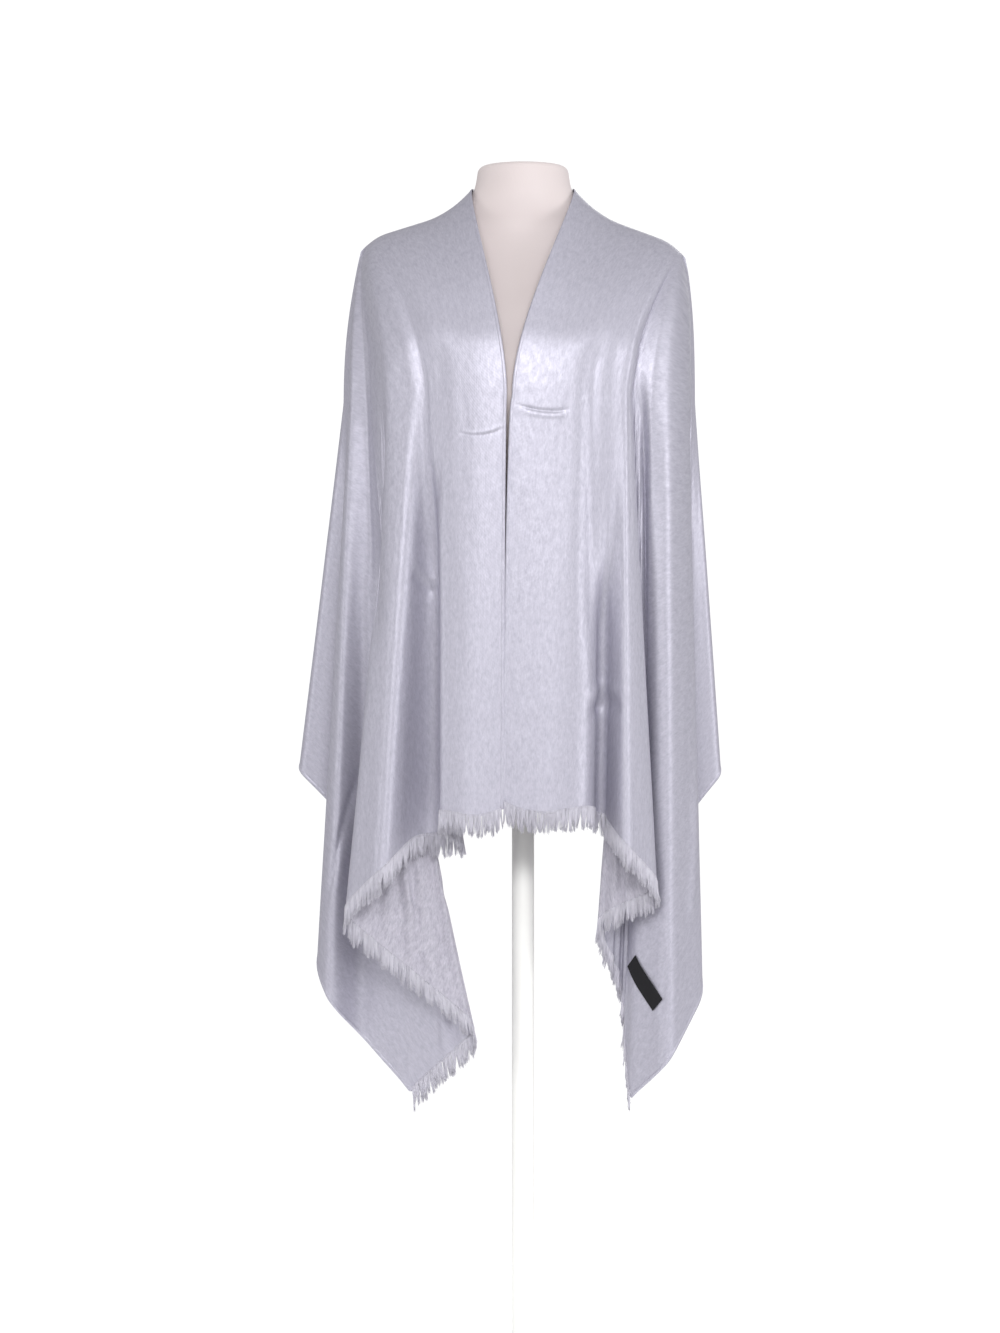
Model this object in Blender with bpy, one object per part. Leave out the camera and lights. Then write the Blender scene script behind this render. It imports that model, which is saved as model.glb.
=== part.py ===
"""An evening stole worn over the shoulders of a limbless dress form on its stand.

Metres, +Z up. The form faces -Y and its stand's underside is centred on the origin. The stole is one
oblong of satin twill with a short fringe at both ends. Its middle lies behind the neck, and each half comes
forward over a shoulder and hangs as a folded tail. It is described by fall lines: each one starts on the
shoulder or on the neck edge, lies on the chest or the back down to bust level, and falls from there to
the cut edge of the cloth. "Out" is the distance from the form's middle plane towards the side in hand.
"""

import math
from typing import NamedTuple

import bmesh
import bpy
import numpy as np
from mathutils import Vector

# Cut of the cloth
CLOTH_LENGTH = 1.78
CLOTH_WIDTH = 0.70
CLOTH_WALL = 0.0012
FRINGE_REACH = 0.022
FRINGE_WALL = 0.0005
FRINGE_GAP = 0.0038
SEAM_GAP = 0.0003

# Where the flat cloth meets the form, measured from centre back and from the neck edge
HALF_LENGTH = CLOTH_LENGTH / 2
FLAT_NECK = (0.150, 0.0)
FLAT_TIP = (0.205, 0.120)
HALF_EDGE = CLOTH_WIDTH + HALF_LENGTH
SIDE_EDGE = 1.300

# Heights on the worn stole
NAPE_HEIGHT = 1.366
NAPE_DEPTH = 0.073
BUST_HEIGHT = 1.140

# Section of the worn stole at bust level
BUST_FRONT = 0.127
BUST_BACK = 0.116
SECTION_POWER = 2.2

# How the fall lines bend
ROUNDING = 0.026
SHOULDER_ROUNDING = 0.10
FRONT_HANDLE = 0.066
SIDE_HANDLE = 0.040
NAPE_HANDLE = 0.040
BUST_HANDLE = 0.085
NECK_BOW = 0.012
LEAN = 0.22  # slope at which a fall line leaves the shoulder
TIP_SHARPNESS = 3  # how fast the sideways fall at the tip gives way to the forward one
CURVE_STEPS = 28

# How the mesh follows the cloth: rows as shares of each fall line's length
ROW_SHARES = (0.0, 0.035, 0.08, 0.135, 0.20, 0.27, 0.34, 0.43, 0.53, 0.64, 0.76, 0.88, 1.0)
COLUMNS_PER_FOLD = 3
LEAST_COLUMN = 0.006
NORMAL_STEP = 0.004
HALVINGS = 40
MERGE_DISTANCE = 1e-5

# Each front piece and the back piece stand this far off their common line
SEAM_SHIFT = 0.00070

# Label on the right tail: size, and its middle and turn on the flat cloth
LABEL_WIDTH = 0.020
LABEL_LENGTH = 0.055
LABEL_WALL = 0.0006
LABEL_GAP = 0.0010
LABEL_PLACE = (0.793, 0.627)
LABEL_TURN = math.radians(111)
LABEL_ROWS = 4

# Dress form and stand
FORM_SIDES = 40
FORM_TOP = 1.406
FORM_BOTTOM = 0.745
BOARD_THICKNESS = 0.012
BOARD_SHARE = 0.94  # of the form's own outline
POLE_RADIUS = 0.0125
COLLAR_RADIUS = 0.024
COLLAR_HEIGHT = 0.035
COLLAR_SLOPE = 0.006
BASE_RADIUS = 0.165
BASE_THICKNESS = 0.010
BASE_RISE = 0.004
EDGE_BREAK = 0.002
ROUND_SIDES = 48


class FallLine(NamedTuple):
    """One crest or trough of the worn cloth, followed from the shoulder to the cut edge."""

    name: str
    edge: float  # along the cut edge from the front corner: fringed end first, then the long selvedge
    start: float  # 0 neck point, 1 shoulder tip, 2 neck point again from behind, 3 nape
    turn: float  # degrees round the bust-level section: 0 front, 90 side, 180 back
    dent: float  # how far the section is pressed in there
    out: float  # place of the lower end
    depth: float
    stretch: float  # worn length over flat length, more on the bias
    late: float  # above 1 where the fold opens only low down


LEFT_FALL = (
    FallLine("front_edge", 0.000, 0.00, 4.6, 0.000, 0.0238, -0.128, 1.000, 0.5),
    FallLine("panel_crown", 0.050, 0.42, 16.0, 0.000, 0.064, -0.133, 1.000, 1.0),
    FallLine("panel_crest", 0.095, 0.75, 25.0, 0.000, 0.102, -0.119, 1.000, 1.0),
    FallLine("tuck", 0.140, 0.84, 28.5, 0.003, 0.056, -0.090, 1.045, 1.6),
    FallLine("first_trough", 0.205, 0.88, 31.5, 0.006, 0.120, -0.070, 1.030, 1.1),
    FallLine("tube_crown", 0.275, 0.90, 36.0, 0.000, 0.152, -0.124, 1.050, 1.0),
    FallLine("tube_turn", 0.370, 0.93, 47.0, 0.002, 0.202, -0.084, 1.060, 1.2),
    FallLine("reverse_turn", 0.575, 0.95, 60.0, 0.014, 0.047, -0.050, 1.085, 1.5),
    FallLine("corner", 0.700, 0.96, 67.0, 0.018, 0.126, -0.018, 1.060, 1.1),
    FallLine("tail_trough", 0.800, 0.965, 71.0, 0.016, 0.184, 0.004, 1.075, 1.1),
    FallLine("side_ridge", 0.860, 0.97, 75.0, 0.004, 0.216, -0.040, 1.080, 1.0),
    FallLine("side_turn", 0.910, 0.975, 78.0, 0.004, 0.236, -0.004, 1.070, 1.0),
    FallLine("hidden_turn", 1.060, 0.98, 82.0, 0.006, 0.164, 0.012, 1.030, 1.3),
    FallLine("side_crest", 1.235, 0.99, 88.0, 0.000, 0.256, 0.018, 0.980, 1.0),
    FallLine("side_seam", SIDE_EDGE, 1.00, 97.0, 0.000, 0.244, 0.066, 0.980, 1.0),
    FallLine("back_corner", 1.390, 1.50, 120.0, 0.000, 0.200, 0.106, 0.985, 1.0),
    FallLine("back_crest", 1.445, 1.90, 134.0, 0.000, 0.152, 0.120, 0.990, 1.0),
    FallLine("back_trough", 1.495, 2.30, 150.0, 0.000, 0.106, 0.101, 0.990, 1.3),
    FallLine("nape_crest", 1.545, 2.68, 164.0, 0.000, 0.052, 0.123, 0.990, 1.0),
    FallLine("centre_back", 1.590, 3.00, 180.0, 0.000, 0.000, 0.108, 0.990, 1.2),
)

RIGHT_FALL = (
    FallLine("front_edge", 0.000, 0.00, -2.4, 0.000, -0.0222, -0.128, 1.000, 0.5),
    FallLine("panel_crown", 0.050, 0.42, 12.0, 0.000, 0.028, -0.134, 1.000, 1.0),
    FallLine("panel_crest", 0.100, 0.75, 21.0, 0.000, 0.072, -0.122, 1.000, 1.0),
    FallLine("recess", 0.165, 0.84, 27.0, 0.004, 0.088, -0.062, 1.010, 1.8),
    FallLine("tube_crown", 0.245, 0.88, 33.0, 0.000, 0.108, -0.126, 1.020, 1.3),
    FallLine("tube_turn", 0.350, 0.91, 38.5, 0.008, 0.152, -0.078, 1.040, 1.0),
    FallLine("reverse_turn", 0.470, 0.93, 42.0, 0.020, 0.080, -0.058, 1.015, 1.3),
    FallLine("corner_run", 0.590, 0.94, 44.0, 0.014, 0.112, -0.006, 1.040, 1.4),
    FallLine("corner", 0.700, 0.95, 47.0, 0.004, 0.118, -0.024, 1.092, 1.1),
    FallLine("tail_crest", 0.785, 0.96, 54.0, 0.000, 0.160, -0.066, 1.105, 1.0),
    FallLine("side_turn", 0.890, 0.97, 74.0, 0.002, 0.206, -0.006, 1.085, 1.0),
    FallLine("hidden_turn", 1.040, 0.98, 82.0, 0.004, 0.150, 0.016, 1.020, 1.3),
    FallLine("side_crest", 1.235, 0.99, 88.0, 0.000, 0.227, 0.020, 0.970, 1.0),
    FallLine("side_seam", SIDE_EDGE, 1.00, 97.0, 0.000, 0.218, 0.066, 0.970, 1.0),
    FallLine("back_corner", 1.390, 1.50, 120.0, 0.000, 0.188, 0.104, 0.980, 1.0),
    FallLine("back_trough", 1.440, 1.88, 134.0, 0.000, 0.146, 0.096, 0.985, 1.3),
    FallLine("back_crest", 1.490, 2.26, 149.0, 0.000, 0.102, 0.121, 0.990, 1.0),
    FallLine("nape_trough", 1.540, 2.64, 162.0, 0.000, 0.052, 0.104, 0.990, 1.2),
    FallLine("centre_back", 1.590, 3.00, 180.0, 0.000, 0.000, 0.108, 0.990, 1.2),
)


class ShoulderPlace(NamedTuple):
    """One place on the ridge of the worn shoulder, seen from the front."""

    along: float  # 0 at the neck point, 1 at the tip
    out: float
    height: float


SHOULDER = (
    ShoulderPlace(0.00, 0.0572, 1.3800),
    ShoulderPlace(0.15, 0.0735, 1.3635),
    ShoulderPlace(0.35, 0.0985, 1.3480),
    ShoulderPlace(0.85, 0.1640, 1.3275),
    ShoulderPlace(1.00, 0.1825, 1.3110),
)


class Side(NamedTuple):
    """What differs between the two halves of the worn stole."""

    sign: int
    falls: tuple
    bust_half_width: float
    shoulder_drop: float


LEFT = Side(-1, LEFT_FALL, 0.2015, 0.000)
RIGHT = Side(1, RIGHT_FALL, 0.1930, 0.007)


class Ring(NamedTuple):
    """One level section of the dress form."""

    height: float
    half_width: float
    front: float
    back: float
    power: float


FORM_RINGS = (
    Ring(FORM_BOTTOM, 0.126, 0.074, 0.082, 2.2),
    Ring(0.800, 0.136, 0.080, 0.090, 2.2),
    Ring(0.860, 0.134, 0.081, 0.090, 2.2),
    Ring(0.930, 0.118, 0.078, 0.078, 2.2),
    Ring(0.990, 0.110, 0.080, 0.072, 2.2),
    Ring(1.050, 0.122, 0.096, 0.080, 2.2),
    Ring(1.100, 0.136, 0.114, 0.090, 2.2),
    Ring(1.140, 0.146, 0.122, 0.097, 2.2),
    Ring(1.180, 0.150, 0.117, 0.101, 2.2),
    Ring(1.230, 0.152, 0.096, 0.098, 2.1),
    Ring(1.280, 0.160, 0.066, 0.080, 2.0),
    Ring(1.304, 0.170, 0.052, 0.061, 1.8),
    Ring(1.317, 0.157, 0.045, 0.053, 1.7),
    Ring(1.328, 0.131, 0.043, 0.049, 1.6),
    Ring(1.340, 0.100, 0.042, 0.047, 1.7),
    Ring(1.351, 0.0805, 0.045, 0.049, 1.9),
    Ring(1.366, 0.0625, 0.048, 0.052, 2.0),
    Ring(1.382, 0.0540, 0.048, 0.052, 2.0),
    Ring(1.396, 0.0515, 0.048, 0.051, 2.0),
    Ring(FORM_TOP, 0.0505, 0.048, 0.051, 2.0),
)


def clear_scene():
    """Removes every object, so that only this model is left."""
    for item in list(bpy.data.objects):
        bpy.data.objects.remove(item, do_unlink=True)


def make_material(name, colour, roughness, metallic=0.0):
    """Returns a plain Principled material."""
    material = bpy.data.materials.new(name)
    material.use_nodes = True
    shader = material.node_tree.nodes["Principled BSDF"]
    shader.inputs["Base Color"].default_value = (*colour, 1.0)
    shader.inputs["Roughness"].default_value = roughness
    shader.inputs["Metallic"].default_value = metallic
    return material


def add_object(name, mesh, material):
    """Links a mesh to the scene as one named piece."""
    item = bpy.data.objects.new(name, mesh)
    bpy.context.collection.objects.link(item)
    mesh.materials.append(material)
    mesh.shade_smooth()
    return item


def eased(positions, values, at, rounding):
    """Reads a broken line through values, with its corners rounded over +-rounding."""
    weights = (1, 2, 3, 4, 3, 2, 1)
    middle = len(weights) // 2
    first_slope = (values[1] - values[0]) / (positions[1] - positions[0])
    last_slope = (values[-1] - values[-2]) / (positions[-1] - positions[-2])
    total = 0.0
    for index, weight in enumerate(weights):
        place = at + rounding * (index - middle) / middle
        value = float(np.interp(place, positions, values))
        value += first_slope * min(place - positions[0], 0.0)
        value += last_slope * max(place - positions[-1], 0.0)
        total += weight * value
    return total / sum(weights)


def signed_power(value, power):
    """Raises the size of a number to a power and keeps its sign."""
    return math.copysign(abs(value) ** power, value)


def blend(first, second, share):
    """Returns the mean of two numbers or vectors, with the given share of the second."""
    return first * (1 - share) + second * share


class Drape:
    """The worn surface of one half of the stole, as positions for places on the flat cloth."""

    def __init__(self, side):
        self.side = side
        self.edges = [fall.edge for fall in side.falls]

    def column(self, name, edge):
        """Returns one column of the fall-line table at a place on the cut edge."""
        values = [getattr(fall, name) for fall in self.side.falls]
        rounding = min(ROUNDING, abs(edge - SIDE_EDGE)) if name == "start" else ROUNDING
        return eased(self.edges, values, edge, rounding)

    def flat_foot(self, edge):
        """Returns the place on the flat cloth of a distance along its cut edge."""
        if edge <= CLOTH_WIDTH:
            return Vector((HALF_LENGTH, edge))
        return Vector((HALF_LENGTH - (edge - CLOTH_WIDTH), CLOTH_WIDTH))

    def flat_start(self, start):
        """Returns the place on the flat cloth where a fall line begins."""
        along = min(max(start, 0.0), 2.0)
        along = min(along, 2.0 - along)
        share = max(start - 2.0, 0.0)
        place = blend(Vector(FLAT_NECK), Vector(FLAT_TIP), along)
        return Vector((place.x * (1 - min(share, 1.0)), place.y))

    def ridge(self, along):
        """Returns a place on top of the shoulder."""
        places = [place.along for place in SHOULDER]
        out = eased(places, [place.out for place in SHOULDER], along, SHOULDER_ROUNDING)
        height = eased(places, [place.height for place in SHOULDER], along, SHOULDER_ROUNDING)
        return Vector((out, 0.0, height - self.side.shoulder_drop * along))

    def start_point(self, start):
        """Returns where a fall line begins: on the shoulder, or behind the neck."""
        if start <= 2.0:
            along = min(max(start, 0.0), 2.0 - max(start, 0.0))
            return self.ridge(along)
        neck = self.ridge(0.0)
        angle = min(start - 2.0, 1.0) * math.pi / 2
        height = blend(neck.z, NAPE_HEIGHT, math.sin(angle) ** 2)
        return Vector((neck.x * math.cos(angle), NAPE_DEPTH * math.sin(angle), height))

    def bust_point(self, turn, dent):
        """Returns a place on the level section that the cloth makes round the bust."""
        angle = math.radians(turn)
        reach = BUST_FRONT if math.cos(angle) > 0 else BUST_BACK
        out = self.side.bust_half_width * signed_power(math.sin(angle), 2 / SECTION_POWER)
        depth = -reach * signed_power(math.cos(angle), 2 / SECTION_POWER)
        place = Vector((out, depth, 0.0))
        place -= place.normalized() * dent
        return place + Vector((0.0, 0.0, BUST_HEIGHT))

    def path(self, edge):
        """Returns the points of one fall line, from its start down to the cut edge."""
        start = min(self.column("start", edge), 3.0)
        turn = self.column("turn", edge)
        top = self.start_point(start)
        bust = self.bust_point(turn, self.column("dent", edge))
        foot = Vector((self.column("out", edge), self.column("depth", edge), 0.0))
        late = self.column("late", edge)
        flat_length = (self.flat_foot(edge) - self.flat_start(start)).length
        length = flat_length * self.column("stretch", edge)

        at_tip = max(1.0 - abs(start - 1.0) * TIP_SHARPNESS, 0.0)
        sideways = math.sin(math.radians(turn)) ** 4 * at_tip
        behind = max(start - 2.0, 0.0)
        forward = -1.0 if math.cos(math.radians(turn)) > 0 else 1.0
        ahead = Vector((0.0, forward, -LEAN - behind))
        down = Vector((LEAN, 0.0, -1.0))
        heading = blend(ahead, down, sideways).normalized()
        handle = blend(blend(FRONT_HANDLE, NAPE_HANDLE, behind), SIDE_HANDLE, sideways)
        bow = NECK_BOW * max(1.0 - abs(start) * 2, 0.0)
        first = top + heading * handle + Vector((bow, 0.0, 0.0))
        second = bust + Vector((0.0, 0.0, BUST_HANDLE))
        upper = []
        for step in range(CURVE_STEPS + 1):
            share = step / CURVE_STEPS
            rest = 1 - share
            point = top * rest ** 3 + first * (3 * rest ** 2 * share)
            point += second * (3 * rest * share ** 2) + bust * share ** 3
            upper.append(point)
        worn = sum((b - a).length for a, b in zip(upper, upper[1:]))
        aside = (Vector((foot.x, foot.y)) - Vector((bust.x, bust.y))).length
        drop = math.sqrt(max((length - worn) ** 2 - aside ** 2, 0.0))
        lower = []
        for step in range(1, CURVE_STEPS + 1):
            share = step / CURVE_STEPS
            opened = share ** late
            point = blend(bust, foot, opened)
            point.z = bust.z - drop * share
            lower.append(point)
        return upper + lower

    def along(self, path, share):
        """Returns the point at a share of a fall line's length."""
        lengths = [0.0]
        for before, after in zip(path, path[1:]):
            lengths.append(lengths[-1] + (after - before).length)
        target = share * lengths[-1]
        point = Vector(np.interp(target, lengths, [p[axis] for p in path]) for axis in range(3))
        if share > 1.0:
            point = path[-1] + (path[-1] - path[-2]).normalized() * (target - lengths[-1])
        return Vector((point.x * self.side.sign, point.y, point.z))

    def place(self, flat):
        """Returns the worn place of a place on the flat cloth."""
        low = 0.0
        high = HALF_EDGE
        for _ in range(HALVINGS):
            edge = (low + high) / 2
            start = self.flat_start(min(self.column("start", edge), 3.0))
            line = self.flat_foot(edge) - start
            aside = flat - start
            if line.x * aside.y - line.y * aside.x > 0:
                low = edge
            else:
                high = edge
        return self.along(self.path(edge), aside.length / line.length)

    def normal(self, flat):
        """Returns the outward direction of the worn cloth at a flat place."""
        aside = Vector((0.0, NORMAL_STEP))
        forth = Vector((NORMAL_STEP, 0.0))
        across = self.place(flat + aside) - self.place(flat - aside)
        ahead = self.place(flat + forth) - self.place(flat - forth)
        return (ahead.cross(across) * -self.side.sign).normalized()


def stations(falls, first, last):
    """Returns the places on the cut edge between two limits where a column of the mesh stands."""
    marks = [first]
    edges = [fall.edge for fall in falls]
    for before, after in zip(edges, edges[1:]):
        for part in range(COLUMNS_PER_FOLD):
            mark = blend(before, after, part / COLUMNS_PER_FOLD)
            if first + LEAST_COLUMN < mark < last - LEAST_COLUMN:
                marks.append(mark)
    return marks + [last]


def grid_mesh(name, columns):
    """Makes a mesh from columns of points, with each column joined to the next."""
    mesh = bpy.data.meshes.new(name)
    shape = bmesh.new()
    rows = [[shape.verts.new(point) for point in column] for column in columns]
    for left, right in zip(rows, rows[1:]):
        for index in range(len(left) - 1):
            shape.faces.new((left[index], left[index + 1], right[index + 1], right[index]))
    bmesh.ops.remove_doubles(shape, verts=shape.verts, dist=MERGE_DISTANCE)
    bmesh.ops.triangulate(shape, faces=shape.faces)
    shape.to_mesh(mesh)
    shape.free()
    return mesh


def add_wall(name, columns, material, wall):
    """Makes a cloth piece of even thickness on both sides of a grid of points."""
    item = add_object(name, grid_mesh(name, columns), material)
    solidify = item.modifiers.new("Wall", "SOLIDIFY")
    solidify.thickness = wall
    solidify.offset = 0.0
    return item


def shifted(columns, shift):
    """Moves columns of points to or from the seam between front and back."""
    return [[point + Vector((0.0, shift, 0.0)) for point in column] for column in columns]


def fall_columns(drape, marks, shares):
    """Returns the points of the fall lines at the given places on the cut edge."""
    columns = []
    for mark in marks:
        path = drape.path(mark)
        columns.append([drape.along(path, share) for share in shares])
    return columns


def facing_out(columns, sign):
    """Orders columns so that the faces made from them look outwards."""
    return columns if sign > 0 else columns[::-1]


def build_stole(satin, trim):
    """Makes the three stretches of cloth and the two fringes."""
    back = []
    for name, side in (("left", LEFT), ("right", RIGHT)):
        drape = Drape(side)
        front_marks = stations(side.falls, 0.0, SIDE_EDGE)
        front = shifted(fall_columns(drape, front_marks, ROW_SHARES), -SEAM_SHIFT)
        add_wall(f"stole_{name}", facing_out(front, side.sign), satin, CLOTH_WALL)
        back_marks = stations(side.falls, SIDE_EDGE, HALF_EDGE)
        half = shifted(fall_columns(drape, back_marks, ROW_SHARES), SEAM_SHIFT)
        back += half if side is LEFT else half[-2::-1]

        fringe_marks = [mark for mark in front_marks if mark < CLOTH_WIDTH] + [CLOTH_WIDTH]
        fringe = []
        for mark in fringe_marks:
            path = drape.path(mark)
            length = sum((b - a).length for a, b in zip(path, path[1:]))
            near = 1.0 + FRINGE_GAP / length
            far = near + FRINGE_REACH / length
            fringe.append([drape.along(path, near), drape.along(path, far)])
        fringe = shifted(fringe, -SEAM_SHIFT)
        add_wall(f"fringe_{name}", facing_out(fringe, side.sign), trim, FRINGE_WALL)
    add_wall("stole_back", back[::-1], satin, CLOTH_WALL)


def build_label(black):
    """Makes the bare woven label that lies on the right tail."""
    drape = Drape(RIGHT)
    lift = CLOTH_WALL / 2 + LABEL_GAP + LABEL_WALL / 2
    columns = []
    for across in (-0.5, 0.0, 0.5):
        column = []
        for step in range(LABEL_ROWS + 1):
            down = step / LABEL_ROWS - 0.5
            aside = across * LABEL_WIDTH
            ahead = down * LABEL_LENGTH
            flat = Vector(LABEL_PLACE)
            flat += Vector((math.cos(LABEL_TURN), math.sin(LABEL_TURN))) * ahead
            flat += Vector((-math.sin(LABEL_TURN), math.cos(LABEL_TURN))) * aside
            point = drape.place(flat) + drape.normal(flat) * lift
            column.append(point + Vector((0.0, -SEAM_SHIFT, 0.0)))
        columns.append(column)
    add_wall("label", columns, black, LABEL_WALL)


def ring_points(ring, sides):
    """Returns the points of one level section of the form."""
    points = []
    for index in range(sides):
        angle = 2 * math.pi * index / sides
        out = ring.half_width * signed_power(math.sin(angle), 2 / ring.power)
        reach = ring.front if math.cos(angle) > 0 else ring.back
        depth = -reach * signed_power(math.cos(angle), 2 / ring.power)
        points.append(Vector((out, depth, ring.height)))
    return points


def build_torso(jersey):
    """Makes the padded body of the dress form, with its neck, as one closed solid."""
    mesh = bpy.data.meshes.new("form_torso")
    shape = bmesh.new()
    loops = []
    for ring in FORM_RINGS:
        loops.append([shape.verts.new(point) for point in ring_points(ring, FORM_SIDES)])
    for lower, upper in zip(loops, loops[1:]):
        for index in range(FORM_SIDES):
            after = (index + 1) % FORM_SIDES
            shape.faces.new((lower[index], lower[after], upper[after], upper[index]))
    shape.faces.new(loops[0][::-1])
    shape.faces.new(loops[-1])
    shape.to_mesh(mesh)
    shape.free()
    add_object("form_torso", mesh, jersey)


def add_turned(name, profile, material):
    """Makes a round piece about the Z axis from (radius, height) points, bottom to top."""
    mesh = bpy.data.meshes.new(name)
    shape = bmesh.new()
    loops = []
    for radius, height in profile:
        ring = bmesh.ops.create_circle(shape, segments=ROUND_SIDES, radius=radius)["verts"]
        for vert in ring:
            vert.co.z = height
        loops.append(ring)
    for lower, upper in zip(loops, loops[1:]):
        for index in range(ROUND_SIDES):
            after = (index + 1) % ROUND_SIDES
            shape.faces.new((lower[index], lower[after], upper[after], upper[index]))
    shape.faces.new(loops[0])
    shape.faces.new(loops[-1])
    bmesh.ops.recalc_face_normals(shape, faces=shape.faces)
    shape.to_mesh(mesh)
    shape.free()
    add_object(name, mesh, material)


def build_stand(board, paint):
    """Makes the board under the form, the pole, its collar and the round base."""
    board_top = FORM_BOTTOM - SEAM_GAP
    board_under = board_top - BOARD_THICKNESS
    mesh = bpy.data.meshes.new("form_board")
    shape = bmesh.new()
    outline = [shape.verts.new(point) for point in ring_points(FORM_RINGS[0], FORM_SIDES)]
    for vert in outline:
        vert.co.z = board_under
        vert.co.x *= BOARD_SHARE
        vert.co.y *= BOARD_SHARE
    face = shape.faces.new(outline)
    raised = bmesh.ops.extrude_face_region(shape, geom=[face])["geom"]
    for item in raised:
        if isinstance(item, bmesh.types.BMVert):
            item.co.z = board_top
    bmesh.ops.recalc_face_normals(shape, faces=shape.faces)
    shape.to_mesh(mesh)
    shape.free()
    add_object("form_board", mesh, board)

    base_top = BASE_THICKNESS + BASE_RISE
    base = (
        (BASE_RADIUS - EDGE_BREAK, 0.0),
        (BASE_RADIUS, EDGE_BREAK),
        (BASE_RADIUS, BASE_THICKNESS - EDGE_BREAK),
        (BASE_RADIUS - EDGE_BREAK, BASE_THICKNESS),
        (COLLAR_RADIUS + EDGE_BREAK, base_top),
    )
    add_turned("stand_base", base, paint)
    collar_bottom = base_top + SEAM_GAP
    collar_top = collar_bottom + COLLAR_HEIGHT
    collar = (
        (COLLAR_RADIUS, collar_bottom),
        (COLLAR_RADIUS, collar_top - COLLAR_SLOPE),
        (POLE_RADIUS + EDGE_BREAK, collar_top),
    )
    add_turned("stand_collar", collar, paint)
    pole = (
        (POLE_RADIUS, collar_top + SEAM_GAP),
        (POLE_RADIUS, board_under - SEAM_GAP),
    )
    add_turned("stand_pole", pole, paint)


def main():
    """Builds the stole, the dress form and its stand."""
    clear_scene()
    satin = make_material("silver satin twill", (0.45, 0.44, 0.51), 0.38)
    trim = make_material("silver fringe", (0.40, 0.39, 0.46), 0.60)
    black = make_material("black label tape", (0.01, 0.01, 0.012), 0.60)
    jersey = make_material("cream jersey", (0.72, 0.66, 0.63), 0.75)
    board = make_material("grey board", (0.30, 0.29, 0.28), 0.70)
    paint = make_material("white powder coat", (0.80, 0.80, 0.80), 0.45)
    build_stole(satin, trim)
    build_label(black)
    build_torso(jersey)
    build_stand(board, paint)


main()
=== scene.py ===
"""Looks of an evening stole on a limbless dress form with its stand.

The stole is one oblong of silver-grey satin twill with a short fringe at both ends. It lies behind the
neck, comes forward over both shoulders and hangs in front as two folded tails. Its surface follows fall
lines: each starts on the shoulder or the neck edge, lies on the chest or the back down to bust level, and
falls from there to the cut edge. All sizes are in metres, +Z is up, and the form faces -Y.
"""

import logging
import math
from dataclasses import dataclass
from enum import Enum

import bmesh
import bpy
import numpy as np
from mathutils import Euler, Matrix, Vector, noise
from mathutils.bvhtree import BVHTree


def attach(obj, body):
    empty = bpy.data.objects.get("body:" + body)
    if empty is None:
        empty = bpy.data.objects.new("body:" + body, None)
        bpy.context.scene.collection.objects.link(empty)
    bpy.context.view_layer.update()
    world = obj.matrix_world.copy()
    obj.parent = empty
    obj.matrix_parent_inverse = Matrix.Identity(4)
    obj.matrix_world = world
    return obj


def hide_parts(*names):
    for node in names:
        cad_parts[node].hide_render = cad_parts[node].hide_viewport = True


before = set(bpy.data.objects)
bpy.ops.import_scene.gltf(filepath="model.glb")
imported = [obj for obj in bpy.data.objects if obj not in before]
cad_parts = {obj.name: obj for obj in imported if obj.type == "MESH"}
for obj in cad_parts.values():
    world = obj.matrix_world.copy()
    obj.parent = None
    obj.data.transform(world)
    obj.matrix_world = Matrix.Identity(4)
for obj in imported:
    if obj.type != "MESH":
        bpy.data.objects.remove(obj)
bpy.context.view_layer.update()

LOG = logging.getLogger("stole")
BODY = "root"

MILLIMETRE = 0.001
MERGE_DISTANCE = 1e-6
SHORTEST_VECTOR = 1e-12
ROUNDING_WEIGHTS = (1, 2, 3, 4, 3, 2, 1)


def linear(hex_colour: str) -> tuple[float, float, float, float]:
    """Turns an sRGB hex colour into linear values.

    Args:
        hex_colour: six hex digits after a hash sign.

    Returns:
        Red, green, blue and an alpha of 1.
    """
    values = [int(hex_colour[start:start + 2], 16) / 255 for start in (1, 3, 5)]
    low = [value / 12.92 for value in values]
    high = [((value + 0.055) / 1.055) ** 2.4 for value in values]
    parts = [h if value > 0.04045 else l for value, l, h in zip(values, low, high)]
    return (parts[0], parts[1], parts[2], 1.0)


def add_node(tree: bpy.types.NodeTree, kind: str, settings: dict | None = None,
             sockets: dict | None = None) -> bpy.types.Node:
    """Adds one node with its settings, values and links.

    Args:
        tree: the material's or the world's node tree.
        kind: the node's type name.
        settings: the node's own properties.
        sockets: by input name or number, a value or an output socket to link from.

    Returns:
        The new node.
    """
    node = tree.nodes.new(kind)
    for name, value in (settings or {}).items():
        setattr(node, name, value)
    for name, value in (sockets or {}).items():
        if isinstance(value, bpy.types.NodeSocket):
            tree.links.new(value, node.inputs[name])
        else:
            node.inputs[name].default_value = value
    return node


def fresh_material(name: str) -> tuple[bpy.types.Material, bpy.types.ShaderNodeTree, bpy.types.ShaderNode]:
    """Makes an empty material that holds one Principled shader.

    Args:
        name: the finish's plain name.

    Returns:
        The material, its node tree and its shader.
    """
    material = bpy.data.materials.new(name)
    material.use_nodes = True
    tree = material.node_tree
    tree.nodes.clear()
    shader = add_node(tree, "ShaderNodeBsdfPrincipled")
    add_node(tree, "ShaderNodeOutputMaterial", sockets={"Surface": shader.outputs["BSDF"]})
    return material, tree, shader


class Place(Enum):
    """What a pattern's coordinates follow."""

    CLOTH = "flat"
    OBJECT = "object"


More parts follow.
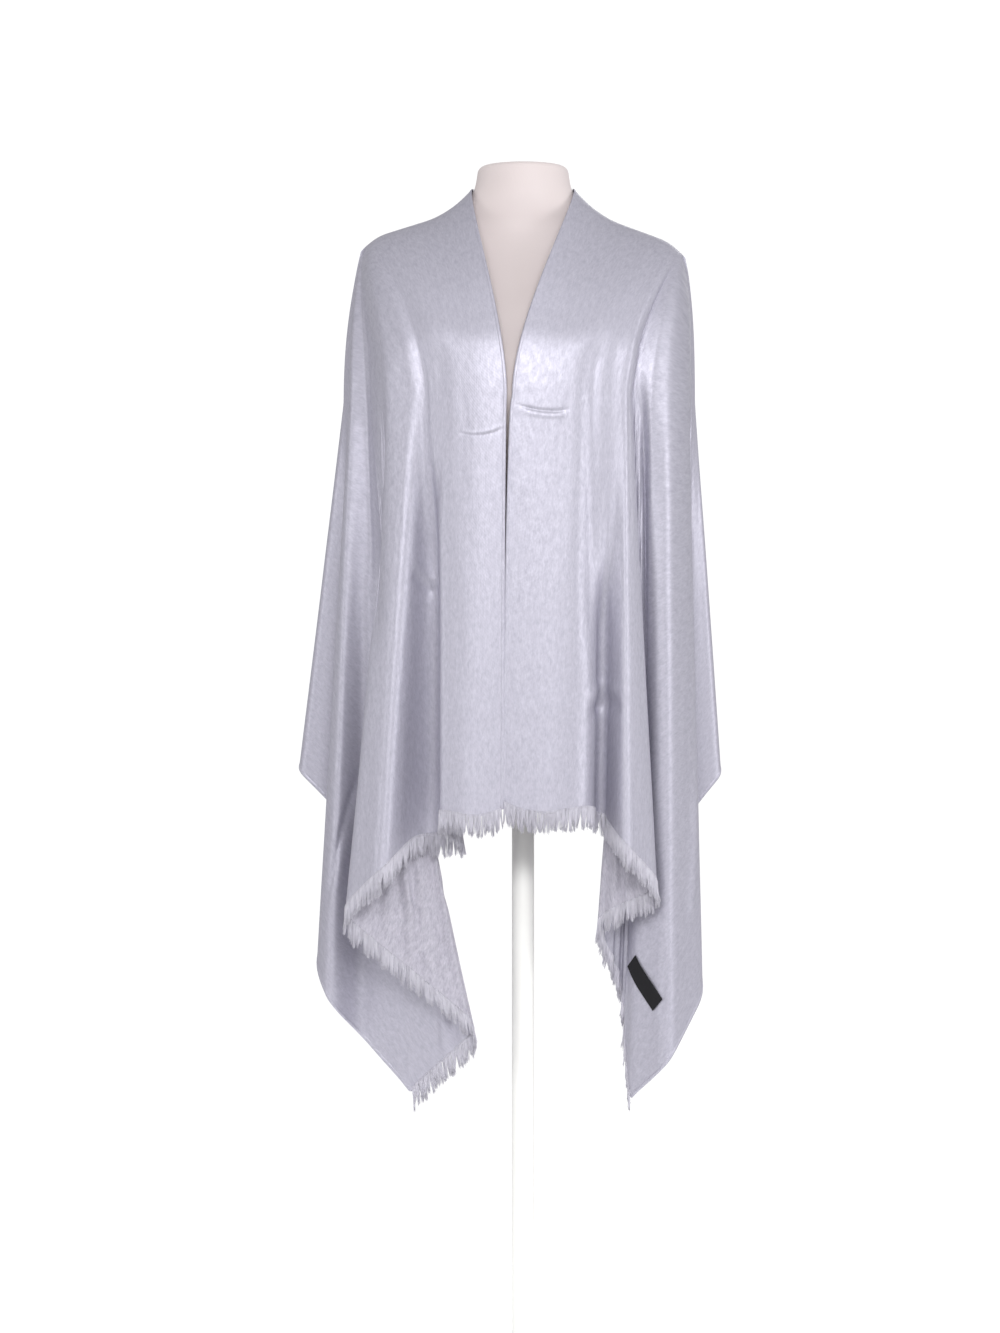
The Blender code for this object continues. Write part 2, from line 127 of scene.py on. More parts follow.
def pattern_place(tree: bpy.types.NodeTree, place: Place, scale: tuple[float, float, float]
                  ) -> bpy.types.NodeSocket:
    """Gives the coordinates of a pattern.

    Args:
        tree: the material's node tree.
        place: whether the pattern lies on the flat cloth or in the object's own space.
        scale: repeats in a metre along each axis.

    Returns:
        The vector socket to feed a texture with.
    """
    if place is Place.CLOTH:
        source = add_node(tree, "ShaderNodeUVMap", {"uv_map": Place.CLOTH.value}).outputs["UV"]
    else:
        source = add_node(tree, "ShaderNodeTexCoord").outputs["Object"]
    mapping = add_node(tree, "ShaderNodeMapping", sockets={"Vector": source})
    mapping.inputs["Scale"].default_value = scale
    return mapping.outputs["Vector"]


# Finishes


@dataclass(frozen=True)
class SatinTwill:
    """Silver satin twill, woven with a shiny warp on its face and a matt weft on its reverse.

    The face gives a broad soft highlight that runs down each fold. The real twill lines are about 0.5 mm
    apart, too fine to show, so they are drawn about five times as coarse and very low.
    """

    name: str
    base: str
    light: str
    roughness: float
    specular: float
    lustre: float
    twill_unit: float = 6 * MILLIMETRE  # a Wave texture draws 2.25 diagonal lines in one unit
    twill_height: float = 0.05 * MILLIMETRE
    slub_gap: float = 5 * MILLIMETRE
    heather_gap: float = 1.6 * MILLIMETRE
    crumple_gap: float = 22 * MILLIMETRE
    crumple_height: float = 0.75 * MILLIMETRE

    def material(self) -> bpy.types.Material:
        """Builds the woven material."""
        material, tree, shader = fresh_material(self.name)
        slub_scale = (1 / (self.slub_gap * 2), 1 / self.slub_gap, 1.0)
        heather_scale = (1 / (self.heather_gap * 3), 1 / self.heather_gap, 1.0)
        crumple_scale = (1 / (self.crumple_gap * 2), 1 / self.crumple_gap, 1.0)
        twill = add_node(tree, "ShaderNodeTexWave", {"wave_type": "BANDS", "bands_direction": "DIAGONAL"}, {
            "Vector": pattern_place(tree, Place.CLOTH, (1 / self.twill_unit, 1 / self.twill_unit, 1.0)),
            "Scale": 1.0,
            "Distortion": 0.6,
            "Detail": 1.0,
        })
        slub = add_node(tree, "ShaderNodeTexNoise", sockets={
            "Vector": pattern_place(tree, Place.CLOTH, slub_scale),
            "Scale": 1.0,
            "Detail": 4.0,
            "Roughness": 0.65,
        })
        heather = add_node(tree, "ShaderNodeTexNoise", sockets={
            "Vector": pattern_place(tree, Place.CLOTH, heather_scale),
            "Scale": 1.0,
            "Detail": 2.0,
            "Roughness": 0.6,
        })
        blend = add_node(tree, "ShaderNodeMix", {"data_type": "FLOAT"}, {
            "Factor": 0.45,
            "A": slub.outputs["Fac"],
            "B": heather.outputs["Fac"],
        })
        fleck = add_node(tree, "ShaderNodeMapRange", sockets={
            "Value": blend.outputs["Result"],
            "From Min": 0.34,
            "From Max": 0.66,
        })
        crumple = add_node(tree, "ShaderNodeTexNoise", sockets={
            "Vector": pattern_place(tree, Place.CLOTH, crumple_scale),
            "Scale": 1.0,
            "Detail": 3.0,
            "Roughness": 0.5,
        })
        tint = add_node(tree, "ShaderNodeMix", {"data_type": "RGBA"}, {
            "Factor": fleck.outputs["Result"],
            "A": linear(self.base),
            "B": linear(self.light),
        })
        gloss = add_node(tree, "ShaderNodeMapRange", sockets={
            "Value": slub.outputs["Fac"],
            "From Min": 0.3,
            "From Max": 0.7,
            "To Min": self.roughness + 0.05,
            "To Max": self.roughness - 0.05,
        })
        soft = add_node(tree, "ShaderNodeBump", sockets={
            "Height": crumple.outputs["Fac"],
            "Strength": 1.0,
            "Distance": self.crumple_height,
        })
        weave = add_node(tree, "ShaderNodeBump", sockets={
            "Height": twill.outputs["Fac"],
            "Normal": soft.outputs["Normal"],
            "Strength": 0.5,
            "Distance": self.twill_height,
        })
        tree.links.new(tint.outputs["Result"], shader.inputs["Base Color"])
        tree.links.new(gloss.outputs["Result"], shader.inputs["Roughness"])
        tree.links.new(weave.outputs["Normal"], shader.inputs["Normal"])
        shader.inputs["Specular IOR Level"].default_value = self.specular
        shader.inputs["Metallic"].default_value = self.lustre
        return material


SATIN_FACE = SatinTwill("satin twill, face", "#A8A6B4", "#BFBDCA", 0.47, 0.50, 0.36)
SATIN_REVERSE = SatinTwill("satin twill, reverse", "#9C99A6", "#C1BEC9", 0.62, 0.30, 0.10,
                           crumple_gap=14 * MILLIMETRE, crumple_height=1.1 * MILLIMETRE)


@dataclass(frozen=True)
class FringeYarn:
    """Spun yarn of the same fibre, cut short, with the fuzz of its ends: softer and duller than the cloth."""

    name: str = "cut fringe yarn"
    dark: str = "#ADAAB7"
    light: str = "#DDDBE5"
    tuft: float = 2.4 * MILLIMETRE

    def material(self) -> bpy.types.Material:
        """Builds the yarn's material, with tufts a little lighter and darker than each other."""
        material, tree, shader = fresh_material(self.name)
        per_tuft = 1 / self.tuft
        tufts = add_node(tree, "ShaderNodeTexNoise", sockets={
            "Vector": pattern_place(tree, Place.OBJECT, (per_tuft, per_tuft, per_tuft / 5)),
            "Scale": 1.0,
            "Detail": 2.0,
        })
        tint = add_node(tree, "ShaderNodeMix", {"data_type": "RGBA"}, {
            "Factor": tufts.outputs["Fac"],
            "A": linear(self.dark),
            "B": linear(self.light),
        })
        tree.links.new(tint.outputs["Result"], shader.inputs["Base Color"])
        shader.inputs["Roughness"].default_value = 0.62
        shader.inputs["Sheen Weight"].default_value = 0.25
        shader.inputs["Sheen Roughness"].default_value = 0.5
        return material


@dataclass(frozen=True)
class LabelTape:
    """Black polyester tape, woven as a fine damask: nearly black with a faint ribbed sheen."""

    name: str = "black woven tape"
    ground: str = "#0C0B0E"
    rib: str = "#1B1A1F"
    rib_unit: float = 3.2 * MILLIMETRE  # a Wave texture draws 3.2 level lines in one unit

    def material(self) -> bpy.types.Material:
        """Builds the tape's material."""
        material, tree, shader = fresh_material(self.name)
        ribs = add_node(tree, "ShaderNodeTexWave", {"wave_type": "BANDS", "bands_direction": "Y"}, {
            "Vector": pattern_place(tree, Place.CLOTH, (1 / self.rib_unit, 1 / self.rib_unit, 1.0)),
            "Scale": 1.0,
            "Distortion": 0.3,
        })
        tint = add_node(tree, "ShaderNodeMix", {"data_type": "RGBA"}, {
            "Factor": ribs.outputs["Fac"],
            "A": linear(self.ground),
            "B": linear(self.rib),
        })
        relief = add_node(tree, "ShaderNodeBump", sockets={
            "Height": ribs.outputs["Fac"],
            "Strength": 0.6,
            "Distance": 0.1 * MILLIMETRE,
        })
        tree.links.new(tint.outputs["Result"], shader.inputs["Base Color"])
        tree.links.new(relief.outputs["Normal"], shader.inputs["Normal"])
        shader.inputs["Roughness"].default_value = 0.55
        shader.inputs["Specular IOR Level"].default_value = 0.25
        return material


@dataclass(frozen=True)
class Jersey:
    """Cream cotton jersey, knitted and stretched over padding: dull, with fine upright wales.

    Its real wales are about 0.8 mm apart, too fine to show, so they are drawn twice as coarse and low.
    """

    name: str = "cream cotton jersey"
    base: str = "#D3C7C6"
    light: str = "#DCD2D2"
    wale: float = 1.6 * MILLIMETRE

    def material(self) -> bpy.types.Material:
        """Builds the knitted material."""
        material, tree, shader = fresh_material(self.name)
        per_wale = 1 / self.wale
        knit = add_node(tree, "ShaderNodeTexNoise", sockets={
            "Vector": pattern_place(tree, Place.OBJECT, (per_wale, per_wale, per_wale / 2.5)),
            "Scale": 1.0,
            "Detail": 1.5,
        })
        pad = add_node(tree, "ShaderNodeTexNoise", sockets={
            "Vector": pattern_place(tree, Place.OBJECT, (14.0, 14.0, 9.0)),
            "Scale": 1.0,
            "Detail": 2.0,
        })
        tint = add_node(tree, "ShaderNodeMix", {"data_type": "RGBA"}, {
            "Factor": pad.outputs["Fac"],
            "A": linear(self.base),
            "B": linear(self.light),
        })
        soft = add_node(tree, "ShaderNodeBump", sockets={
            "Height": pad.outputs["Fac"],
            "Strength": 0.5,
            "Distance": 1.5 * MILLIMETRE,
        })
        relief = add_node(tree, "ShaderNodeBump", sockets={
            "Height": knit.outputs["Fac"],
            "Normal": soft.outputs["Normal"],
            "Strength": 0.35,
            "Distance": 0.2 * MILLIMETRE,
        })
        tree.links.new(tint.outputs["Result"], shader.inputs["Base Color"])
        tree.links.new(relief.outputs["Normal"], shader.inputs["Normal"])
        shader.inputs["Roughness"].default_value = 0.85
        shader.inputs["Sheen Weight"].default_value = 0.2
        return material


@dataclass(frozen=True)
class PressedBoard:
    """Pressed grey board with a waxed surface, fibrous and dull."""

    name: str = "pressed board"
    base: str = "#8E8A84"
    fleck: str = "#A7A39C"

    def material(self) -> bpy.types.Material:
        """Builds the board's material."""
        material, tree, shader = fresh_material(self.name)
        fibre = add_node(tree, "ShaderNodeTexNoise", sockets={
            "Vector": pattern_place(tree, Place.OBJECT, (500.0, 160.0, 300.0)),
            "Scale": 1.0,
            "Detail": 4.0,
        })
        tint = add_node(tree, "ShaderNodeMix", {"data_type": "RGBA"}, {
            "Factor": fibre.outputs["Fac"],
            "A": linear(self.base),
            "B": linear(self.fleck),
        })
        relief = add_node(tree, "ShaderNodeBump", sockets={
            "Height": fibre.outputs["Fac"],
            "Strength": 0.4,
            "Distance": 0.2 * MILLIMETRE,
        })
        tree.links.new(tint.outputs["Result"], shader.inputs["Base Color"])
        tree.links.new(relief.outputs["Normal"], shader.inputs["Normal"])
        shader.inputs["Roughness"].default_value = 0.7
        return material


@dataclass(frozen=True)
class PowderCoat:
    """White polyester powder coat baked on steel: even, with the faint orange peel of the melted powder."""

    name: str = "white powder coat"
    base: str = "#F6F6F4"
    scuffed: str = "#EFEEEB"
    peel: float = 1.4 * MILLIMETRE

    def material(self) -> bpy.types.Material:
        """Builds the painted metal."""
        material, tree, shader = fresh_material(self.name)
        per_peel = 1 / self.peel
        peel = add_node(tree, "ShaderNodeTexNoise", sockets={
            "Vector": pattern_place(tree, Place.OBJECT, (per_peel, per_peel, per_peel)),
            "Scale": 1.0,
            "Detail": 1.0,
        })
        wear = add_node(tree, "ShaderNodeTexNoise", sockets={
            "Vector": pattern_place(tree, Place.OBJECT, (30.0, 30.0, 12.0)),
            "Scale": 1.0,
            "Detail": 4.0,
        })
        tint = add_node(tree, "ShaderNodeMix", {"data_type": "RGBA"}, {
            "Factor": wear.outputs["Fac"],
            "A": linear(self.base),
            "B": linear(self.scuffed),
        })
        relief = add_node(tree, "ShaderNodeBump", sockets={
            "Height": peel.outputs["Fac"],
            "Strength": 0.25,
            "Distance": 0.1 * MILLIMETRE,
        })
        tree.links.new(tint.outputs["Result"], shader.inputs["Base Color"])
        tree.links.new(relief.outputs["Normal"], shader.inputs["Normal"])
        shader.inputs["Roughness"].default_value = 0.38
        return material


@dataclass(frozen=True)
class StudioPaper:
    """Plain pale paper under the object, bright enough to melt into the background."""

    name: str = "studio paper"
    base: str = "#FAFAFA"
    glow: float = 0.52

    def material(self) -> bpy.types.Material:
        """Builds the floor's material."""
        material, _, shader = fresh_material(self.name)
        shader.inputs["Base Color"].default_value = linear(self.base)
        shader.inputs["Roughness"].default_value = 0.95
        shader.inputs["Specular IOR Level"].default_value = 0.1
        shader.inputs["Emission Color"].default_value = linear("#FFFFFF")
        shader.inputs["Emission Strength"].default_value = self.glow
        return material


# Shape helpers


def add_piece(name: str, mesh: bpy.types.Mesh, materials: list[bpy.types.Material],
              replaced: tuple[str, ...] = ()) -> bpy.types.Object:
    """Links a finished mesh as one piece of the object.

    Args:
        name: the piece's plain name.
        mesh: its mesh, with its place in it.
        materials: its materials, in slot order.
        replaced: the CAD nodes that it stands for.

    Returns:
        The new object.
    """
    item = bpy.data.objects.new(name, mesh)
    bpy.context.scene.collection.objects.link(item)
    for material in materials:
        mesh.materials.append(material)
    mesh.shade_smooth()
    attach(item, BODY)
    if replaced:
        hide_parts(*replaced)
    LOG.info("%s: %d faces", name, len(mesh.polygons))
    return item


def applied(mesh: bpy.types.Mesh, kind: str, settings: dict) -> bpy.types.Mesh:
    """Puts a mesh through one modifier.

    Args:
        mesh: the mesh to start from.
        kind: the modifier's type name.
        settings: the modifier's own properties.

    Returns:
        A new mesh.
    """
    item = bpy.data.objects.new(mesh.name, mesh)
    bpy.context.scene.collection.objects.link(item)
    modifier = item.modifiers.new(kind.capitalize(), kind)
    for name, value in settings.items():
        setattr(modifier, name, value)
    graph = bpy.context.evaluated_depsgraph_get()
    changed = bpy.data.meshes.new_from_object(item.evaluated_get(graph))
    bpy.data.objects.remove(item, do_unlink=True)
    return changed


def grid_mesh(name: str, points: np.ndarray, flats: np.ndarray | None = None, ring: bool = False
              ) -> bpy.types.Mesh:
    """Makes a mesh from a grid of points.

    Args:
        name: the mesh's name.
        points: places by column and row.
        flats: flat-cloth places by column and row, kept as the UV map.
        ring: whether the last row lies on the first, as in a tube, whose ends are then closed.

    Returns:
        The mesh.
    """
    columns, rows = points.shape[:2]
    shape = bmesh.new()
    bmesh.ops.create_grid(shape, x_segments=columns - 1, y_segments=rows - 1, size=1.0)
    mesh = bpy.data.meshes.new(name)
    shape.to_mesh(mesh)
    shape.free()
    ordered = points.transpose(1, 0, 2).reshape(-1, 3)
    mesh.vertices.foreach_set("co", ordered.astype(np.float32).ravel())
    if flats is not None:
        corners = np.empty(len(mesh.loops), np.int32)
        mesh.loops.foreach_get("vertex_index", corners)
        places = flats.transpose(1, 0, 2).reshape(-1, 2)[corners]
        layer = mesh.uv_layers.get(Place.CLOTH.value) or mesh.uv_layers.new(name=Place.CLOTH.value)
        layer.data.foreach_set("uv", places.astype(np.float32).ravel())
    shape = bmesh.new()
    shape.from_mesh(mesh)
    if ring:
        bmesh.ops.remove_doubles(shape, verts=shape.verts, dist=MERGE_DISTANCE)
        bmesh.ops.holes_fill(shape, edges=shape.edges, sides=0)
        bmesh.ops.recalc_face_normals(shape, faces=shape.faces)
    else:
        for edge in shape.edges:
            edge.smooth = not edge.is_boundary
    shape.to_mesh(mesh)
    shape.free()
    mesh.update()
    return mesh


def unit(vectors: np.ndarray) -> np.ndarray:
    """Scales vectors to a length of 1."""
    return vectors / np.maximum(np.linalg.norm(vectors, axis=-1, keepdims=True), SHORTEST_VECTOR)


def grid_normals(points: np.ndarray, sign: int) -> np.ndarray:
    """Gives the outward direction of the cloth at each place of a grid.

    Args:
        points: places by column and row.
        sign: -1 for the left half, 1 for the right.

    Returns:
        Unit vectors by column and row.
    """
    across = np.gradient(points, axis=0)
    down = np.gradient(points, axis=1)
    return unit(np.cross(down, across) * sign)


def mix(first: np.ndarray, second: np.ndarray, share: np.ndarray) -> np.ndarray:
    """Returns the mean of two arrays of vectors, with a share of the second for each."""
    return first * (1 - share)[..., None] + second * share[..., None]


def eased(positions: list[float], values: list[float], at: np.ndarray, rounding: np.ndarray) -> np.ndarray:
    """Reads a broken line through values, with its corners rounded.

    Args:
        positions: places of the values.
        values: the values.
        at: places to read at.
        rounding: half the width over which a corner is rounded, for each place.

    Returns:
        The values read.
    """
    middle = len(ROUNDING_WEIGHTS) // 2
    first_slope = (values[1] - values[0]) / (positions[1] - positions[0])
    last_slope = (values[-1] - values[-2]) / (positions[-1] - positions[-2])
    total = np.zeros_like(at)
    for index, weight in enumerate(ROUNDING_WEIGHTS):
        place = at + rounding * (index - middle) / middle
        value = np.interp(place, positions, values)
        value = value + first_slope * np.minimum(place - positions[0], 0.0)
        value = value + last_slope * np.maximum(place - positions[-1], 0.0)
        total = total + weight * value
    return total / sum(ROUNDING_WEIGHTS)


def signed_power(value: np.ndarray, power: float) -> np.ndarray:
    """Raises the size of numbers to a power and keeps their signs."""
    return np.sign(value) * np.abs(value) ** power


# The worn cloth


@dataclass(frozen=True)
class FallLine:
    """One crest or trough of the worn cloth, followed from the shoulder to the cut edge."""

    name: str
    edge: float  # along the cut edge from the front corner: fringed end first, then the long selvedge
    start: float  # 0 neck point, 1 shoulder tip, 2 neck point again from behind, 3 nape
    turn: float  # degrees round the bust-level section: 0 front, 90 side, 180 back
    dent: float  # how far the section is pressed in there
    out: float  # place of the lower end
    depth: float
    stretch: float  # worn length over flat length, more on the bias
    late: float  # above 1 where the fold opens only low down


SIDE_EDGE = 1.300  # where a front stretch meets the back, along the cut edge

LEFT_FALL = (
    FallLine("front_edge", 0.000, 0.00, 4.6, 0.000, 0.0238, -0.128, 1.000, 0.5),
    FallLine("panel_crown", 0.050, 0.42, 16.0, 0.000, 0.064, -0.133, 1.000, 1.0),
    FallLine("panel_crest", 0.095, 0.75, 25.0, 0.000, 0.102, -0.119, 1.000, 1.0),
    FallLine("tuck", 0.140, 0.84, 28.5, 0.003, 0.056, -0.090, 1.045, 1.6),
    FallLine("first_trough", 0.205, 0.88, 31.5, 0.006, 0.120, -0.070, 1.030, 1.1),
    FallLine("tube_crown", 0.275, 0.90, 36.0, 0.000, 0.152, -0.124, 1.050, 1.0),
    FallLine("tube_turn", 0.370, 0.93, 47.0, 0.002, 0.202, -0.084, 1.060, 1.2),
    FallLine("reverse_turn", 0.575, 0.95, 60.0, 0.014, 0.047, -0.050, 1.085, 1.5),
    FallLine("corner", 0.700, 0.96, 67.0, 0.018, 0.126, -0.018, 1.060, 1.1),
    FallLine("tail_trough", 0.800, 0.965, 71.0, 0.016, 0.184, 0.004, 1.075, 1.1),
    FallLine("side_ridge", 0.860, 0.97, 75.0, 0.004, 0.216, -0.040, 1.080, 1.0),
    FallLine("side_turn", 0.910, 0.975, 78.0, 0.004, 0.236, -0.004, 1.070, 1.0),
    FallLine("hidden_turn", 1.060, 0.98, 82.0, 0.006, 0.164, 0.012, 1.030, 1.3),
    FallLine("side_crest", 1.235, 0.99, 88.0, 0.000, 0.256, 0.018, 0.980, 1.0),
    FallLine("side_seam", SIDE_EDGE, 1.00, 97.0, 0.000, 0.244, 0.066, 0.980, 1.0),
    FallLine("back_corner", 1.390, 1.50, 120.0, 0.000, 0.200, 0.106, 0.985, 1.0),
    FallLine("back_crest", 1.445, 1.90, 134.0, 0.000, 0.152, 0.120, 0.990, 1.0),
    FallLine("back_trough", 1.495, 2.30, 150.0, 0.000, 0.106, 0.101, 0.990, 1.3),
    FallLine("nape_crest", 1.545, 2.68, 164.0, 0.000, 0.052, 0.123, 0.990, 1.0),
    FallLine("centre_back", 1.590, 3.00, 180.0, 0.000, 0.000, 0.108, 0.990, 1.2),
)

RIGHT_FALL = (
    FallLine("front_edge", 0.000, 0.00, -2.4, 0.000, -0.0222, -0.128, 1.000, 0.5),
    FallLine("panel_crown", 0.050, 0.42, 12.0, 0.000, 0.028, -0.134, 1.000, 1.0),
    FallLine("panel_crest", 0.100, 0.75, 21.0, 0.000, 0.072, -0.122, 1.000, 1.0),
    FallLine("recess", 0.165, 0.84, 27.0, 0.004, 0.088, -0.062, 1.010, 1.8),
    FallLine("tube_crown", 0.245, 0.88, 33.0, 0.000, 0.108, -0.126, 1.020, 1.3),
    FallLine("tube_turn", 0.350, 0.91, 38.5, 0.008, 0.152, -0.078, 1.040, 1.0),
    FallLine("reverse_turn", 0.470, 0.93, 42.0, 0.020, 0.080, -0.058, 1.015, 1.3),
    FallLine("corner_run", 0.590, 0.94, 44.0, 0.014, 0.112, -0.006, 1.040, 1.4),
    FallLine("corner", 0.700, 0.95, 47.0, 0.004, 0.118, -0.024, 1.092, 1.1),
    FallLine("tail_crest", 0.785, 0.96, 54.0, 0.000, 0.160, -0.066, 1.105, 1.0),
    FallLine("side_turn", 0.890, 0.97, 74.0, 0.002, 0.206, -0.006, 1.085, 1.0),
    FallLine("hidden_turn", 1.040, 0.98, 82.0, 0.004, 0.150, 0.016, 1.020, 1.3),
    FallLine("side_crest", 1.235, 0.99, 88.0, 0.000, 0.227, 0.020, 0.970, 1.0),
    FallLine("side_seam", SIDE_EDGE, 1.00, 97.0, 0.000, 0.218, 0.066, 0.970, 1.0),
    FallLine("back_corner", 1.390, 1.50, 120.0, 0.000, 0.188, 0.104, 0.980, 1.0),
    FallLine("back_trough", 1.440, 1.88, 134.0, 0.000, 0.146, 0.096, 0.985, 1.3),
    FallLine("back_crest", 1.490, 2.26, 149.0, 0.000, 0.102, 0.121, 0.990, 1.0),
    FallLine("nape_trough", 1.540, 2.64, 162.0, 0.000, 0.052, 0.104, 0.990, 1.2),
    FallLine("centre_back", 1.590, 3.00, 180.0, 0.000, 0.000, 0.108, 0.990, 1.2),
)


@dataclass(frozen=True)
class Half:
    """What differs between the two halves of the worn stole."""

    name: str
    sign: int
    falls: tuple[FallLine, ...]
    bust_half_width: float
    shoulder_drop: float


LEFT = Half("left", -1, LEFT_FALL, 0.2015, 0.000)
RIGHT = Half("right", 1, RIGHT_FALL, 0.1930, 0.007)


@dataclass(frozen=True)
class Crease:
    """A soft trough or ridge across the cloth, between two places on its flat cut."""

    first: tuple[float, float]
    last: tuple[float, float]
    width: float
    height: float  # above 0 for a ridge, below 0 for a trough
    bow: float = 0.0  # how far its middle stands off the straight line


@dataclass
class Cut:
    """The flat cloth, measured from centre back and from the neck edge."""

    length: float = 1.78
    width: float = 0.70
    wall: float = 0.9 * MILLIMETRE
    neck: tuple[float, float] = (0.150, 0.0)
    tip: tuple[float, float] = (0.205, 0.120)

    @property
    def half(self) -> float:
        """Half the length, from centre back to a fringed end."""
        return self.length / 2

    @property
    def around(self) -> float:
        """Length of the cut edge from a front corner round to centre back."""
        return self.width + self.half

    @property
    def side_foot(self) -> float:
        """Distance from centre back to the foot of the line between front and back."""
        return self.half - (SIDE_EDGE - self.width)

    def feet(self, edges: np.ndarray) -> np.ndarray:
        """Returns flat places for distances along the cut edge."""
        end = np.stack([np.full_like(edges, self.half), edges], axis=-1)
        selvedge = np.stack([self.half - (edges - self.width), np.full_like(edges, self.width)], axis=-1)
        return np.where((edges <= self.width)[:, None], end, selvedge)

    def starts(self, starts: np.ndarray) -> np.ndarray:
        """Returns the flat places where fall lines begin."""
        along = np.clip(starts, 0.0, 2.0)
        along = np.minimum(along, 2.0 - along)
        behind = np.clip(starts - 2.0, 0.0, 1.0)
        neck = np.broadcast_to(np.array(self.neck), along.shape + (2,))
        tip = np.broadcast_to(np.array(self.tip), along.shape + (2,))
        places = mix(neck, tip, along)
        places[:, 0] *= 1 - behind
        return places


def read_along(values: np.ndarray, edges: np.ndarray, at: np.ndarray) -> np.ndarray:
    """Reads vectors at places between the ones that they were given for."""
    return np.stack([np.interp(at, edges, values[:, axis]) for axis in range(3)], axis=-1)


